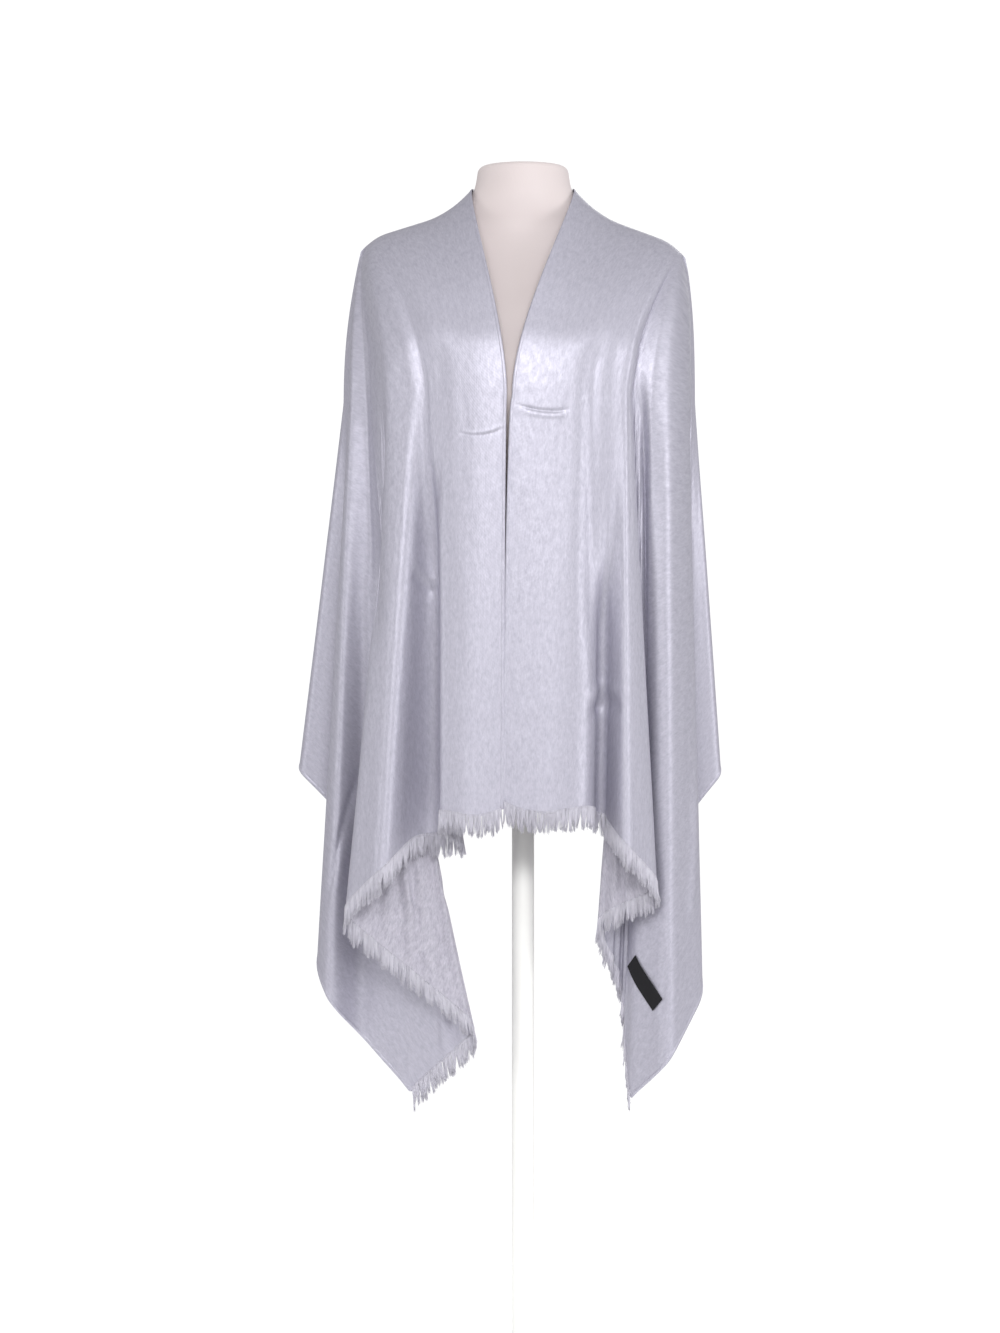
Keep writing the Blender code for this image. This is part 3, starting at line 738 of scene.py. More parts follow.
@dataclass
class Drape:
    """The worn surface of one half, as positions for places on the flat cloth."""

    half: Half
    cut: Cut
    nape_height: float = 1.366
    nape_depth: float = 0.073
    bust_height: float = 1.140
    bust_front: float = 0.127
    bust_back: float = 0.116
    section_power: float = 2.2
    rounding: float = 0.026
    ridge_rounding: float = 0.10
    front_handle: float = 0.064
    side_handle: float = 0.040
    nape_handle: float = 0.040
    bust_handle: float = 0.085
    neck_bow: float = 0.012
    neck_reach: float = 0.5
    lean: float = 0.12
    side_flare: float = 0.22
    tip_fade: float = 3.0
    tip_power: float = 4.0
    steps: int = 40
    halvings: int = 40

    # Share of the way from the neck point to the tip, place outward, height
    SHOULDER = ((0.00, 0.0572, 1.3800), (0.15, 0.0735, 1.3635), (0.35, 0.0985, 1.3480),
                (0.85, 0.1640, 1.3275), (1.00, 0.1825, 1.3110))

    def column(self, name: str, edges: np.ndarray) -> np.ndarray:
        """Reads one column of the fall lines' table.

        Args:
            name: the field of FallLine.
            edges: places on the cut edge.

        Returns:
            The field's value for each place.
        """
        positions = [fall.edge for fall in self.half.falls]
        values = [getattr(fall, name) for fall in self.half.falls]
        rounding = np.full_like(edges, self.rounding)
        if name == "start":
            rounding = np.minimum(rounding, np.abs(edges - SIDE_EDGE))
        return eased(positions, values, edges, rounding)

    def ridge(self, along: np.ndarray) -> np.ndarray:
        """Returns places on top of the shoulder, 0 at the neck point and 1 at the tip."""
        places = [row[0] for row in self.SHOULDER]
        rounding = np.full_like(along, self.ridge_rounding)
        out = eased(places, [row[1] for row in self.SHOULDER], along, rounding)
        height = eased(places, [row[2] for row in self.SHOULDER], along, rounding)
        height = height - self.half.shoulder_drop * along
        return np.stack([out, np.zeros_like(out), height], axis=-1)

    def tops(self, starts: np.ndarray) -> np.ndarray:
        """Returns where fall lines begin: on the shoulder, or behind the neck."""
        clipped = np.clip(starts, 0.0, 2.0)
        on_shoulder = self.ridge(np.minimum(clipped, 2.0 - clipped))
        neck = self.ridge(np.zeros_like(starts))
        angle = np.clip(starts - 2.0, 0.0, 1.0) * math.pi / 2
        height = neck[:, 2] + (self.nape_height - neck[:, 2]) * np.sin(angle) ** 2
        behind = np.stack([neck[:, 0] * np.cos(angle), self.nape_depth * np.sin(angle), height], axis=-1)
        return np.where((starts <= 2.0)[:, None], on_shoulder, behind)

    def busts(self, turns: np.ndarray, dents: np.ndarray) -> np.ndarray:
        """Returns places on the level section that the cloth makes round the bust."""
        angle = np.radians(turns)
        reach = np.where(np.cos(angle) > 0, self.bust_front, self.bust_back)
        out = self.half.bust_half_width * signed_power(np.sin(angle), 2 / self.section_power)
        depth = -reach * signed_power(np.cos(angle), 2 / self.section_power)
        level = np.stack([out, depth, np.zeros_like(out)], axis=-1)
        level = level - unit(level) * dents[:, None]
        return level + np.array([0.0, 0.0, self.bust_height])

    def paths(self, edges: np.ndarray) -> np.ndarray:
        """Works out fall lines from their starts down to the cut edge.

        Args:
            edges: places on the cut edge.

        Returns:
            Points by fall line and step.
        """
        starts = np.minimum(self.column("start", edges), 3.0)
        turns = self.column("turn", edges)
        top = self.tops(starts)
        bust = self.busts(turns, self.column("dent", edges))
        out, depth = self.column("out", edges), self.column("depth", edges)
        foot = np.stack([out, depth, np.zeros_like(edges)], axis=-1)
        late = self.column("late", edges)
        flat_length = np.linalg.norm(self.cut.feet(edges) - self.cut.starts(starts), axis=-1)
        length = flat_length * self.column("stretch", edges)

        at_tip = np.maximum(1.0 - np.abs(starts - 1.0) * self.tip_fade, 0.0)
        sideways = np.sin(np.radians(turns)) ** self.tip_power * at_tip
        behind = np.clip(starts - 2.0, 0.0, 1.0)
        forward = np.where(np.cos(np.radians(turns)) > 0, -1.0, 1.0)
        ahead = np.stack([np.zeros_like(forward), forward, -self.lean - behind], axis=-1)
        down = np.broadcast_to(np.array([self.side_flare, 0.0, -1.0]), ahead.shape)
        heading = unit(mix(ahead, down, sideways))
        handle = self.front_handle * (1 - behind) + self.nape_handle * behind
        handle = handle * (1 - sideways) + self.side_handle * sideways
        first = top + heading * handle[:, None]
        first[:, 0] += self.neck_bow * np.maximum(1.0 - np.abs(starts) / self.neck_reach, 0.0)
        second = bust + np.array([0.0, 0.0, self.bust_handle])
        share = np.linspace(0.0, 1.0, self.steps + 1)[None, :, None]
        rest = 1 - share
        upper = top[:, None] * rest ** 3 + first[:, None] * (3 * rest ** 2 * share)
        upper = upper + second[:, None] * (3 * rest * share ** 2) + bust[:, None] * share ** 3
        worn = np.linalg.norm(np.diff(upper, axis=1), axis=-1).sum(axis=1)
        aside = np.linalg.norm(foot[:, :2] - bust[:, :2], axis=-1)
        drop = np.sqrt(np.maximum((length - worn) ** 2 - aside ** 2, 0.0))
        share = share[:, 1:]
        lower = bust[:, None] + (foot - bust)[:, None] * share ** late[:, None, None]
        lower[:, :, 2] = bust[:, None, 2] - drop[:, None] * share[:, :, 0]
        return np.concatenate([upper, lower], axis=1)

    def points(self, edges: np.ndarray, shares: np.ndarray) -> np.ndarray:
        """Returns worn places for each fall line.

        Args:
            edges: places on the cut edge, one for each fall line.
            shares: shares of a fall line's length, either one list for all or a row for each line.

        Returns:
            Points by fall line and share.
        """
        paths = self.paths(edges)
        steps = np.linalg.norm(np.diff(paths, axis=1), axis=-1)
        lengths = np.concatenate([np.zeros((len(edges), 1)), np.cumsum(steps, axis=1)], axis=1)
        shares = np.broadcast_to(shares, (len(edges), np.shape(shares)[-1]))
        places = np.empty(shares.shape + (3,))
        for index in range(len(edges)):
            target = shares[index] * lengths[index, -1]
            for axis in range(3):
                places[index, :, axis] = np.interp(target, lengths[index], paths[index, :, axis])
        places[:, :, 0] *= self.half.sign
        return places

    def flats(self, edges: np.ndarray, shares: np.ndarray) -> np.ndarray:
        """Returns the flat places of the same fall lines and shares as points does."""
        start = self.cut.starts(np.minimum(self.column("start", edges), 3.0))
        foot = self.cut.feet(edges)
        shares = np.broadcast_to(shares, (len(edges), np.shape(shares)[-1]))[..., None]
        return start[:, None] + (foot - start)[:, None] * shares

    def find(self, flats: np.ndarray) -> tuple[np.ndarray, np.ndarray]:
        """Finds the fall line and the share of flat places.

        Args:
            flats: places on the flat cloth, one a row.

        Returns:
            Places on the cut edge, and shares of the fall lines there.
        """
        low = np.zeros(len(flats))
        high = np.full(len(flats), self.cut.around)
        for _ in range(self.halvings):
            edges = (low + high) / 2
            start = self.cut.starts(np.minimum(self.column("start", edges), 3.0))
            line = self.cut.feet(edges) - start
            aside = flats - start
            past = line[:, 0] * aside[:, 1] - line[:, 1] * aside[:, 0] > 0
            low = np.where(past, edges, low)
            high = np.where(past, high, edges)
        return edges, np.linalg.norm(aside, axis=-1) / np.linalg.norm(line, axis=-1)


@dataclass
class Relief:
    """The small folds that stand off the worn surface: long soft buckles, and the creases listed one by one.

    Each sum of waves is a list of sizes, rates and shares of the seed that move the wave along.
    """

    creases: tuple[Crease, ...]
    seed: float
    buckle: float = 1.1 * MILLIMETRE
    buckle_gap: float = 0.055
    buckle_length: float = 0.55
    buckle_slope: float = 3.0
    buckle_start: float = 0.4
    pleat: float = 2.0 * MILLIMETRE
    pleat_gap: float = 0.036
    pleat_ease: float = 0.035
    pleat_slope: float = 4.0
    pleat_start: float = 1.0
    hidden: tuple[tuple[float, float], ...] = ((0.38, 0.66), (0.92, 1.12))  # turned away from the front
    ripple: float = 0.18 * MILLIMETRE
    ripple_gap: float = 0.021
    ripple_length: float = 0.16
    ripple_shift: float = 40.0
    crease_fade: float = 4.0

    WANDER = ((0.5, 5.1, 1.0), (0.3, 11.3, 2.0))
    UNEVEN = ((0.9, 47.0, 1.0), (0.6, 91.0, 0.0))

    def heights(self, edges: np.ndarray, shares: np.ndarray, flats: np.ndarray) -> np.ndarray:
        """Works out how far the cloth stands off its plain surface.

        Args:
            edges: places on the cut edge, by column.
            shares: shares of the fall lines, by row.
            flats: flat places, by column and row.

        Returns:
            Heights by column and row, outward above 0.
        """
        total = np.zeros(flats.shape[:2])
        layer = self.seed + self.ripple_shift
        for column, edge in enumerate(edges):
            for row, share in enumerate(shares):
                place = Vector((edge / self.buckle_gap, share / self.buckle_length, self.seed))
                total[column, row] = self.buckle * noise.noise(place)
                place = Vector((edge / self.ripple_gap, share / self.ripple_length, layer))
                total[column, row] += self.ripple * noise.noise(place)
        total *= np.clip(shares * self.buckle_slope - self.buckle_start, 0.0, 1.0)[None, :]
        total += self.pleats(edges, shares)
        for crease in self.creases:
            total += self.crease_height(crease, flats)
        return total

    def waves(self, at: np.ndarray, parts: tuple[tuple[float, float, float], ...]) -> np.ndarray:
        """Returns a sum of waves at some places."""
        return sum(size * np.sin(at * rate + shift * self.seed) for size, rate, shift in parts)

    def pleats(self, edges: np.ndarray, shares: np.ndarray) -> np.ndarray:
        """Returns the heights of the narrow folds where the cloth gathers out of sight."""
        total = np.zeros((len(edges), len(shares)))
        drift = self.waves(edges, self.UNEVEN)[:, None] + self.waves(shares, self.WANDER)[None, :]
        for first, last in self.hidden:
            inside = np.clip(np.minimum(edges - first, last - edges) / self.pleat_ease, 0.0, 1.0)
            phase = 2 * math.pi * (edges - first)[:, None] / self.pleat_gap + drift
            total += inside[:, None] * np.sin(phase)
        return self.pleat * total * np.clip(shares * self.pleat_slope - self.pleat_start, 0.0, 1.0)[None, :]

    def crease_height(self, crease: Crease, flats: np.ndarray) -> np.ndarray:
        """Returns one crease's height at flat places."""
        first = np.array(crease.first)
        line = np.array(crease.last) - first
        length = np.linalg.norm(line)
        line = line / length
        aside = np.array([-line[1], line[0]])
        along = (flats - first) @ line / length
        across = (flats - first) @ aside - crease.bow * (1 - (2 * along - 1) ** 2)
        fade = np.clip(np.minimum(along, 1 - along) * self.crease_fade, 0.0, 1.0)
        fade = fade * fade * (3 - 2 * fade)
        return crease.height * fade * np.exp(-((across / crease.width) ** 2))


LEFT_CREASES = (
    # The brow of the bust, then the fold line across it with a soft lift above
    Crease((0.384, -0.060), (0.364, 0.200), 0.0250, 0.0020, 0.004),
    Crease((0.475, 0.066), (0.477, -0.006), 0.0015, -0.0006),
    Crease((0.474, 0.062), (0.472, 0.000), 0.0024, 0.0005, 0.001),
    # The shallow dip beside the panel's crest, and the first deep trough with a short pucker across it
    Crease((0.360, 0.084), (0.580, 0.102), 0.0150, -0.0018),
    Crease((0.480, 0.128), (0.960, 0.196), 0.0170, -0.0110),
    Crease((0.602, 0.184), (0.638, 0.152), 0.0050, -0.0022),
    Crease((0.592, 0.180), (0.628, 0.146), 0.0050, 0.0016),
    # The long dip between the front tube and the outer layer
    Crease((0.350, 0.196), (0.660, 0.262), 0.0160, -0.0040, 0.006),
    # Diagonal pull lines on the outer layer
    Crease((0.590, 0.498), (0.660, 0.645), 0.0046, -0.0024, 0.003),
    Crease((0.602, 0.494), (0.672, 0.639), 0.0055, 0.0009, 0.003),
    Crease((0.300, 0.215), (0.480, 0.370), 0.0090, -0.0030),
    # Crumples on the turned-back reverse
    Crease((0.800, 0.420), (0.862, 0.470), 0.0055, -0.0024, 0.003),
    Crease((0.815, 0.500), (0.885, 0.520), 0.0055, 0.0022, -0.004),
    Crease((0.785, 0.540), (0.850, 0.580), 0.0060, -0.0022, 0.004),
    Crease((0.840, 0.585), (0.888, 0.640), 0.0050, 0.0018),
    Crease((0.760, 0.460), (0.800, 0.550), 0.0060, 0.0020, 0.005),
    Crease((0.850, 0.430), (0.870, 0.530), 0.0050, -0.0018, -0.003),
    # Soft hanging folds on the back
    Crease((0.124, 0.110), (0.092, 0.780), 0.0190, -0.0130, 0.010),
    Crease((0.066, 0.140), (0.038, 0.780), 0.0170, 0.0075, -0.006),
    Crease((0.186, 0.180), (0.204, 0.780), 0.0170, -0.0095, -0.005),
    Crease((0.160, 0.190), (0.100, 0.460), 0.0100, 0.0036),
)
RIGHT_CREASES = (
    # The brow of the bust, then the fold line, dark towards the front edge and faint beyond
    Crease((0.388, -0.060), (0.370, 0.220), 0.0250, 0.0020, 0.004),
    Crease((0.456, 0.002), (0.452, 0.060), 0.0016, -0.0010),
    Crease((0.461, 0.004), (0.457, 0.058), 0.0026, 0.0004),
    Crease((0.453, 0.054), (0.434, 0.146), 0.0020, -0.0004, 0.002),
    # The soft band down the panel, the recess beside it, and a pucker low down
    Crease((0.330, 0.086), (0.760, 0.104), 0.0170, -0.0040),
    Crease((0.600, 0.130), (0.960, 0.160), 0.0160, -0.0080),
    Crease((0.792, 0.094), (0.748, 0.215), 0.0072, -0.0026, 0.003),
    Crease((0.774, 0.092), (0.732, 0.205), 0.0072, 0.0018, 0.003),
    # The deep narrow groove beside the front tube, and the rim that catches the light
    Crease((0.340, 0.207), (0.680, 0.528), 0.0095, -0.0105),
    Crease((0.400, 0.290), (0.700, 0.574), 0.0090, 0.0022),
    # Streaks on the tail
    Crease((0.730, 0.624), (0.786, 0.670), 0.0050, -0.0020),
    Crease((0.560, 0.520), (0.690, 0.640), 0.0075, 0.0018, 0.005),
    Crease((0.300, 0.300), (0.500, 0.520), 0.0110, -0.0030, 0.010),
    # Crumples on the turned-back reverse
    Crease((0.800, 0.400), (0.860, 0.450), 0.0055, -0.0022, 0.003),
    Crease((0.830, 0.490), (0.880, 0.520), 0.0050, 0.0020),
    Crease((0.790, 0.560), (0.850, 0.600), 0.0055, -0.0020, 0.003),
    # Soft hanging folds on the back
    Crease((0.098, 0.140), (0.066, 0.780), 0.0180, -0.0120, -0.008),
    Crease((0.146, 0.150), (0.138, 0.780), 0.0170, 0.0070, 0.006),
    Crease((0.030, 0.200), (0.018, 0.780), 0.0140, -0.0065, 0.004),
    Crease((0.200, 0.190), (0.176, 0.700), 0.0120, -0.0055, 0.006),
)


@dataclass
class Stole:
    """The cloth and the hems along its selvedges."""

    cut: Cut
    front_gap: float = 0.0042
    hidden_edge: float = 0.95
    hidden_gap: float = 0.0075
    back_gap: float = 0.0050
    rows: int = 165
    crowd_at: float = 0.418
    crowd_reach: float = 0.030
    crowding: float = 4.5
    fine_rows: int = 2001
    clearance: float = 1.2 * MILLIMETRE
    body_low: float = 1.0
    body_reach: float = 0.02
    hem_width: float = 4.2 * MILLIMETRE
    hem_height: float = 1.6 * MILLIMETRE
    hem_sides: int = 10
    smoothing: int = 2
    tip_reach: float = 0.12
    tip_step: float = 0.01
    nape_start: float = 1.96

    def __post_init__(self) -> None:
        """Sets up both halves and the rows that they share, closer together across the bust creases."""
        even = np.linspace(0.0, 1.0, self.fine_rows)
        dense = 1 + self.crowding * np.exp(-((even - self.crowd_at) / self.crowd_reach) ** 2)
        total = np.concatenate([[0.0], np.cumsum((dense[1:] + dense[:-1]) / 2)])
        self.shares = np.interp(np.linspace(0.0, total[-1], self.rows), total, even)
        self.drapes = {half.name: Drape(half, self.cut) for half in (LEFT, RIGHT)}
        self.reliefs = {"left": Relief(LEFT_CREASES, 3.7), "right": Relief(RIGHT_CREASES, 11.2)}
        self.fronts: dict[str, np.ndarray] = {}
        self.back_hems: list[bpy.types.Object] = []
        self.front_edges = self.spaced(0.0, self.hidden_edge, self.front_gap)
        self.front_edges = np.concatenate([
            self.front_edges[:-1], self.spaced(self.hidden_edge, SIDE_EDGE, self.hidden_gap)])
        self.back_edges = self.spaced(SIDE_EDGE, self.cut.around, self.back_gap)

    @staticmethod
    def spaced(first: float, last: float, gap: float) -> np.ndarray:
        """Returns even places from first to last, about a gap apart."""
        return np.linspace(first, last, max(round((last - first) / gap), 1) + 1)

    def worn(self, half: Half, edges: np.ndarray) -> tuple[np.ndarray, np.ndarray]:
        """Returns the plain worn places and the flat places of some fall lines of one half."""
        drape = self.drapes[half.name]
        return drape.points(edges, self.shares), drape.flats(edges, self.shares)

    def smoothed(self, points: np.ndarray) -> np.ndarray:
        """Evens out a grid of points, with its border kept."""
        for _ in range(self.smoothing):
            inner = (points[:-2, 1:-1] + points[2:, 1:-1] + points[1:-1, :-2] + points[1:-1, 2:]) / 4
            points = points.copy()
            points[1:-1, 1:-1] = (points[1:-1, 1:-1] + inner) / 2
        return points

    def raised(self, points: np.ndarray, heights: np.ndarray, sign: int, torso: BVHTree) -> np.ndarray:
        """Moves the cloth by its relief and keeps it clear of the form.

        Args:
            points: worn places by column and row.
            heights: how far each stands off.
            sign: -1 for the left half, 1 for the right.
            torso: the form's surface.

        Returns:
            The places moved.
        """
        points = points + grid_normals(points, sign) * heights[..., None]
        least = self.clearance + self.cut.wall / 2
        for column, row in zip(*np.nonzero(points[:, :, 2] > self.body_low)):
            place = Vector(points[column, row])
            near, outward, _, distance = torso.find_nearest(place, self.body_reach)
            if near is None:
                continue
            if (place - near).dot(outward) < 0:
                distance = -distance
            if distance < least:
                points[column, row] = near + outward * least
        return points

    def outward(self, half: Half, edges: np.ndarray, points: np.ndarray) -> np.ndarray:
        """Gives the cloth's outward direction, the same from both sides of the shoulder.

        Args:
            half: the half of the stole.
            edges: places on the cut edge, by column.
            points: worn places by column and row.

        Returns:
            Unit vectors by column and row.
        """
        normals = grid_normals(points, half.sign)
        drape = self.drapes[half.name]
        starts = drape.column("start", edges)
        along = np.clip(np.minimum(starts, 2.0 - starts), self.tip_step, 1.0 - self.tip_step)
        rise = drape.ridge(along + self.tip_step) - drape.ridge(along - self.tip_step)
        above = unit(np.stack([-rise[:, 2] * half.sign, rise[:, 1], rise[:, 0]], axis=-1))
        on_shoulder = starts < 2.0
        inner = np.clip(np.abs(starts - 1.0) / self.tip_reach, 0.0, 1.0)
        normals[on_shoulder, 0] = unit(mix(normals[:, 0], above, inner))[on_shoulder]
        return normals

    def cloth(self, name: str, points: np.ndarray, normals: np.ndarray, flats: np.ndarray,
              satin: list[bpy.types.Material], replaced: str) -> bpy.types.Object:
        """Makes one stretch of cloth as a thin shell.

        Args:
            name: the piece's name.
            points: worn places, with columns in the order that makes the faces look out.
            normals: the cloth's outward directions in the same order.
            flats: flat places in the same order.
            satin: the face's material and the reverse's.
            replaced: the CAD node it stands for.

        Returns:
            The piece.
        """
        plain = grid_mesh(name, points, flats)
        for material in satin:
            plain.materials.append(material)
        wall = self.cut.wall
        mesh = applied(plain, "SOLIDIFY", {"thickness": wall, "offset": 0.0, "material_offset": 1})
        centres = points.transpose(1, 0, 2).reshape(-1, 3)
        away = normals.transpose(1, 0, 2).reshape(-1, 3)
        shell = np.concatenate([centres + away * wall / 2, centres - away * wall / 2])
        mesh.vertices.foreach_set("co", shell.astype(np.float32).ravel())
        piece = add_piece(name, mesh, [], (replaced,))
        mesh.normals_split_custom_set_from_vertices(np.concatenate([away, -away]).tolist())
        return piece

    def hem(self, name: str, path: np.ndarray, outward: np.ndarray, satin: list[bpy.types.Material]
            ) -> bpy.types.Object:
        """Makes the narrow turned hem along a run of a selvedge.

        Args:
            name: the piece's name.
            path: points along the cloth's edge.
            outward: the cloth's outward direction at each.
            satin: the face's material and the reverse's.

        Returns:
            The piece.
        """
        tangent = unit(np.gradient(path, axis=0))
        across = unit(np.cross(tangent, outward))
        angles = np.linspace(0.0, 2 * math.pi, self.hem_sides + 1)[None, :, None]
        centre = path[:, None]
        ring = centre + across[:, None] * np.cos(angles) * self.hem_width / 2
        ring = ring + outward[:, None] * np.sin(angles) * self.hem_height / 2
        lengths = np.concatenate([[0.0], np.cumsum(np.linalg.norm(np.diff(path, axis=0), axis=-1))])
        flats = np.stack(np.broadcast_arrays(lengths[:, None], angles[:, :, 0] * self.hem_width / 2), axis=-1)
        return add_piece(name, grid_mesh(name, ring, flats, ring=True), satin[:1])

    def build(self, satin: list[bpy.types.Material], torso: BVHTree) -> dict[str, bpy.types.Object]:
        """Builds the three stretches of cloth and the hems.

        Args:
            satin: the face's material and the reverse's.
            torso: the form's surface, which the cloth stays clear of.

        Returns:
            The pieces by name.
        """
        pieces = {}
        backs = []
        for half in (LEFT, RIGHT):
            relief = self.reliefs[half.name]
            edges = np.concatenate([self.front_edges, self.back_edges[1:]])
            points, flats = self.worn(half, edges)
            heights = relief.heights(edges, self.shares, flats)
            points = self.raised(self.smoothed(points), heights, half.sign, torso)
            count = len(self.front_edges)
            self.fronts[half.name] = points[:count]
            normals = self.outward(half, edges, points)
            order = slice(None, None, -half.sign)
            front = points[:count][order], normals[:count][order], flats[:count][order]
            pieces[half.name] = self.cloth(f"cloth_{half.name}", *front, satin, f"stole_{half.name}")
            flats[:, :, 0] *= half.sign
            backs.append((points[count - 1:], flats[count - 1:], normals[count - 1:]))
        (left, left_flats, left_away), (right, right_flats, right_away) = backs
        right[-1] = (left[-1] + right[-1]) / 2
        points = np.concatenate([right, left[-2::-1]])
        flats = np.concatenate([right_flats, left_flats[-2::-1]])
        outward = grid_normals(points, RIGHT.sign)
        last = len(right_away) - 1
        outward[:last] = right_away[:-1]
        outward[last + 1:] = left_away[-2::-1]
        turned = points[::-1], outward[::-1], flats[::-1]
        pieces["back"] = self.cloth("cloth_back", *turned, satin, "stole_back")
        at_nape = self.drapes["right"].column("start", self.back_edges) >= self.nape_start
        nape = np.concatenate([at_nape, at_nape[-2::-1]])
        self.back_hems = [
            self.hem("hem_back", points[:, -1], outward[:, -1], satin),
            self.hem("hem_nape", points[nape, 0], outward[nape, 0], satin),
        ]
        return pieces


@dataclass
class Fringe:
    """The cut yarns at one end of the cloth, combed by wear into small uneven tufts."""

    half: Half
    reach: float = 0.022
    strands: int = 3200
    radius: float = 0.46 * MILLIMETRE
    rows: int = 5
    sides: int = 3
    row_gap: float = 10.0  # between the yarns while they are still a straight row
    end_margin: float = 0.0004
    tuft_gap: float = 0.0038
    tuft_spread: float = 0.18
    gather: float = 0.42  # how far tips are drawn to the middle of their tuft
    droop: float = 0.45  # how much tips turn straight down
    length_by_tuft: float = 0.10
    length_by_strand: float = 0.05
    shortest: float = 0.7
    longest: float = 1.2
    tuft_aside: float = 1.3 * MILLIMETRE
    tuft_out: float = 1.6 * MILLIMETRE
    tip_spread: float = 0.0006
    inside_cloth: float = 2.4 * MILLIMETRE
    root_out: float = 0.00035
    root_spread: float = 0.00025
    bend_at: float = 0.55
    taper: float = 0.55
    seed: int = 5

    def template(self) -> bpy.types.Mesh:
        """Makes one upright yarn of unit size."""
        shape = bmesh.new()
        bmesh.ops.create_cone(shape, cap_ends=True, segments=self.sides, radius1=1.0, radius2=1.0, depth=1.0)
        for level in range(1, self.rows):
            height = level / self.rows - 0.5
            geometry = list(shape.verts) + list(shape.edges) + list(shape.faces)
            bmesh.ops.bisect_plane(shape, geom=geometry, plane_co=(0, 0, height), plane_no=(0, 0, 1))
        mesh = bpy.data.meshes.new("yarn")
        shape.to_mesh(mesh)
        shape.free()
        return mesh

    def arrayed(self, mesh: bpy.types.Mesh) -> bpy.types.Mesh:
        """Repeats the yarn in a row, all in one mesh."""
        return applied(mesh, "ARRAY", {
            "count": self.strands,
            "use_relative_offset": False,
            "use_constant_offset": True,
            "constant_offset_displace": (self.row_gap, 0.0, 0.0),
        })

    def lines(self, roots: np.ndarray, before: np.ndarray, outward: np.ndarray, edges: np.ndarray
              ) -> tuple[np.ndarray, ...]:
        """Works out how each yarn runs.

        Args:
            roots: points along the end of the cloth.
            before: the points just above them on the same fall lines.
            outward: the cloth's outward direction at each.
            edges: the points' places on the cut edge.

        Returns:
            By yarn, its root, its bend and its tip, then the directions along and out of the cloth.
        """
        seed = self.seed + self.half.sign
        dice = np.random.default_rng(seed)
        places = np.sort(dice.uniform(edges[0] + self.end_margin, edges[-1] - self.end_margin, self.strands))
        tufts = np.round(places / self.tuft_gap + dice.normal(0.0, self.tuft_spread, self.strands))
        wander = np.random.default_rng(seed + 1).normal(0.0, 1.0, (int(tufts.max()) + 2, 3))
        wander = wander[np.maximum(tufts, 0).astype(int)]
        gathered = places + (tufts * self.tuft_gap - places) * self.gather
        root = read_along(roots, edges, places)
        fall = unit(read_along(roots - before, edges, places))
        face = unit(read_along(outward, edges, places))
        aside = unit(np.cross(fall, face))
        uneven = self.length_by_tuft * wander[:, 0] + dice.normal(0.0, self.length_by_strand, self.strands)
        length = np.clip(self.reach * (1 + uneven), self.reach * self.shortest, self.reach * self.longest)
        heading = unit(fall + np.array([0.0, 0.0, -1.0]) * self.droop)
        tip = read_along(roots, edges, gathered) + heading * length[:, None]
        tip = tip + aside * (wander[:, 1] * self.tuft_aside)[:, None]
        tip = tip + face * (wander[:, 2] * self.tuft_out)[:, None]
        tip = tip + dice.normal(0.0, self.tip_spread, tip.shape)
        standing_off = dice.normal(self.root_out, self.root_spread, self.strands)
        root = root - fall * self.inside_cloth + face * standing_off[:, None]
        bend = root + fall * (length * self.bend_at)[:, None]
        return root, bend, tip, aside, face

    def build(self, roots: np.ndarray, before: np.ndarray, outward: np.ndarray, edges: np.ndarray,
              yarn: bpy.types.Material) -> bpy.types.Object:
        """Sets the yarns along the cloth's end.

        Args:
            roots: points along the end of the cloth.
            before: the points just above them on the same fall lines.
            outward: the cloth's outward direction at each.
            edges: the points' places on the cut edge.
            yarn: the yarn's material.

        Returns:
            The piece.
        """
        mesh = self.arrayed(self.template())
        corners = np.empty(len(mesh.vertices) * 3, np.float32)
        mesh.vertices.foreach_get("co", corners)
        corners = corners.reshape(self.strands, -1, 3).astype(float)
        corners[:, :, 0] -= self.row_gap * np.arange(self.strands)[:, None]
        root, bend, tip, aside, face = self.lines(roots, before, outward, edges)
        share = (corners[:, :, 2] + 0.5)[..., None]
        rest = 1 - share
        line = root[:, None] * rest ** 2 + bend[:, None] * (2 * rest * share) + tip[:, None] * share ** 2
        thick = self.radius * (1 - self.taper * share ** 2)
        line = line + aside[:, None] * corners[:, :, :1] * thick + face[:, None] * corners[:, :, 1:2] * thick
        mesh.vertices.foreach_set("co", line.astype(np.float32).ravel())
        name = f"yarns_{self.half.name}"
        mesh.name = name
        shape = bmesh.new()
        shape.from_mesh(mesh)
        bmesh.ops.recalc_face_normals(shape, faces=shape.faces)
        shape.to_mesh(mesh)
        shape.free()
        mesh.update()
        return add_piece(name, mesh, [yarn], (f"fringe_{self.half.name}",))


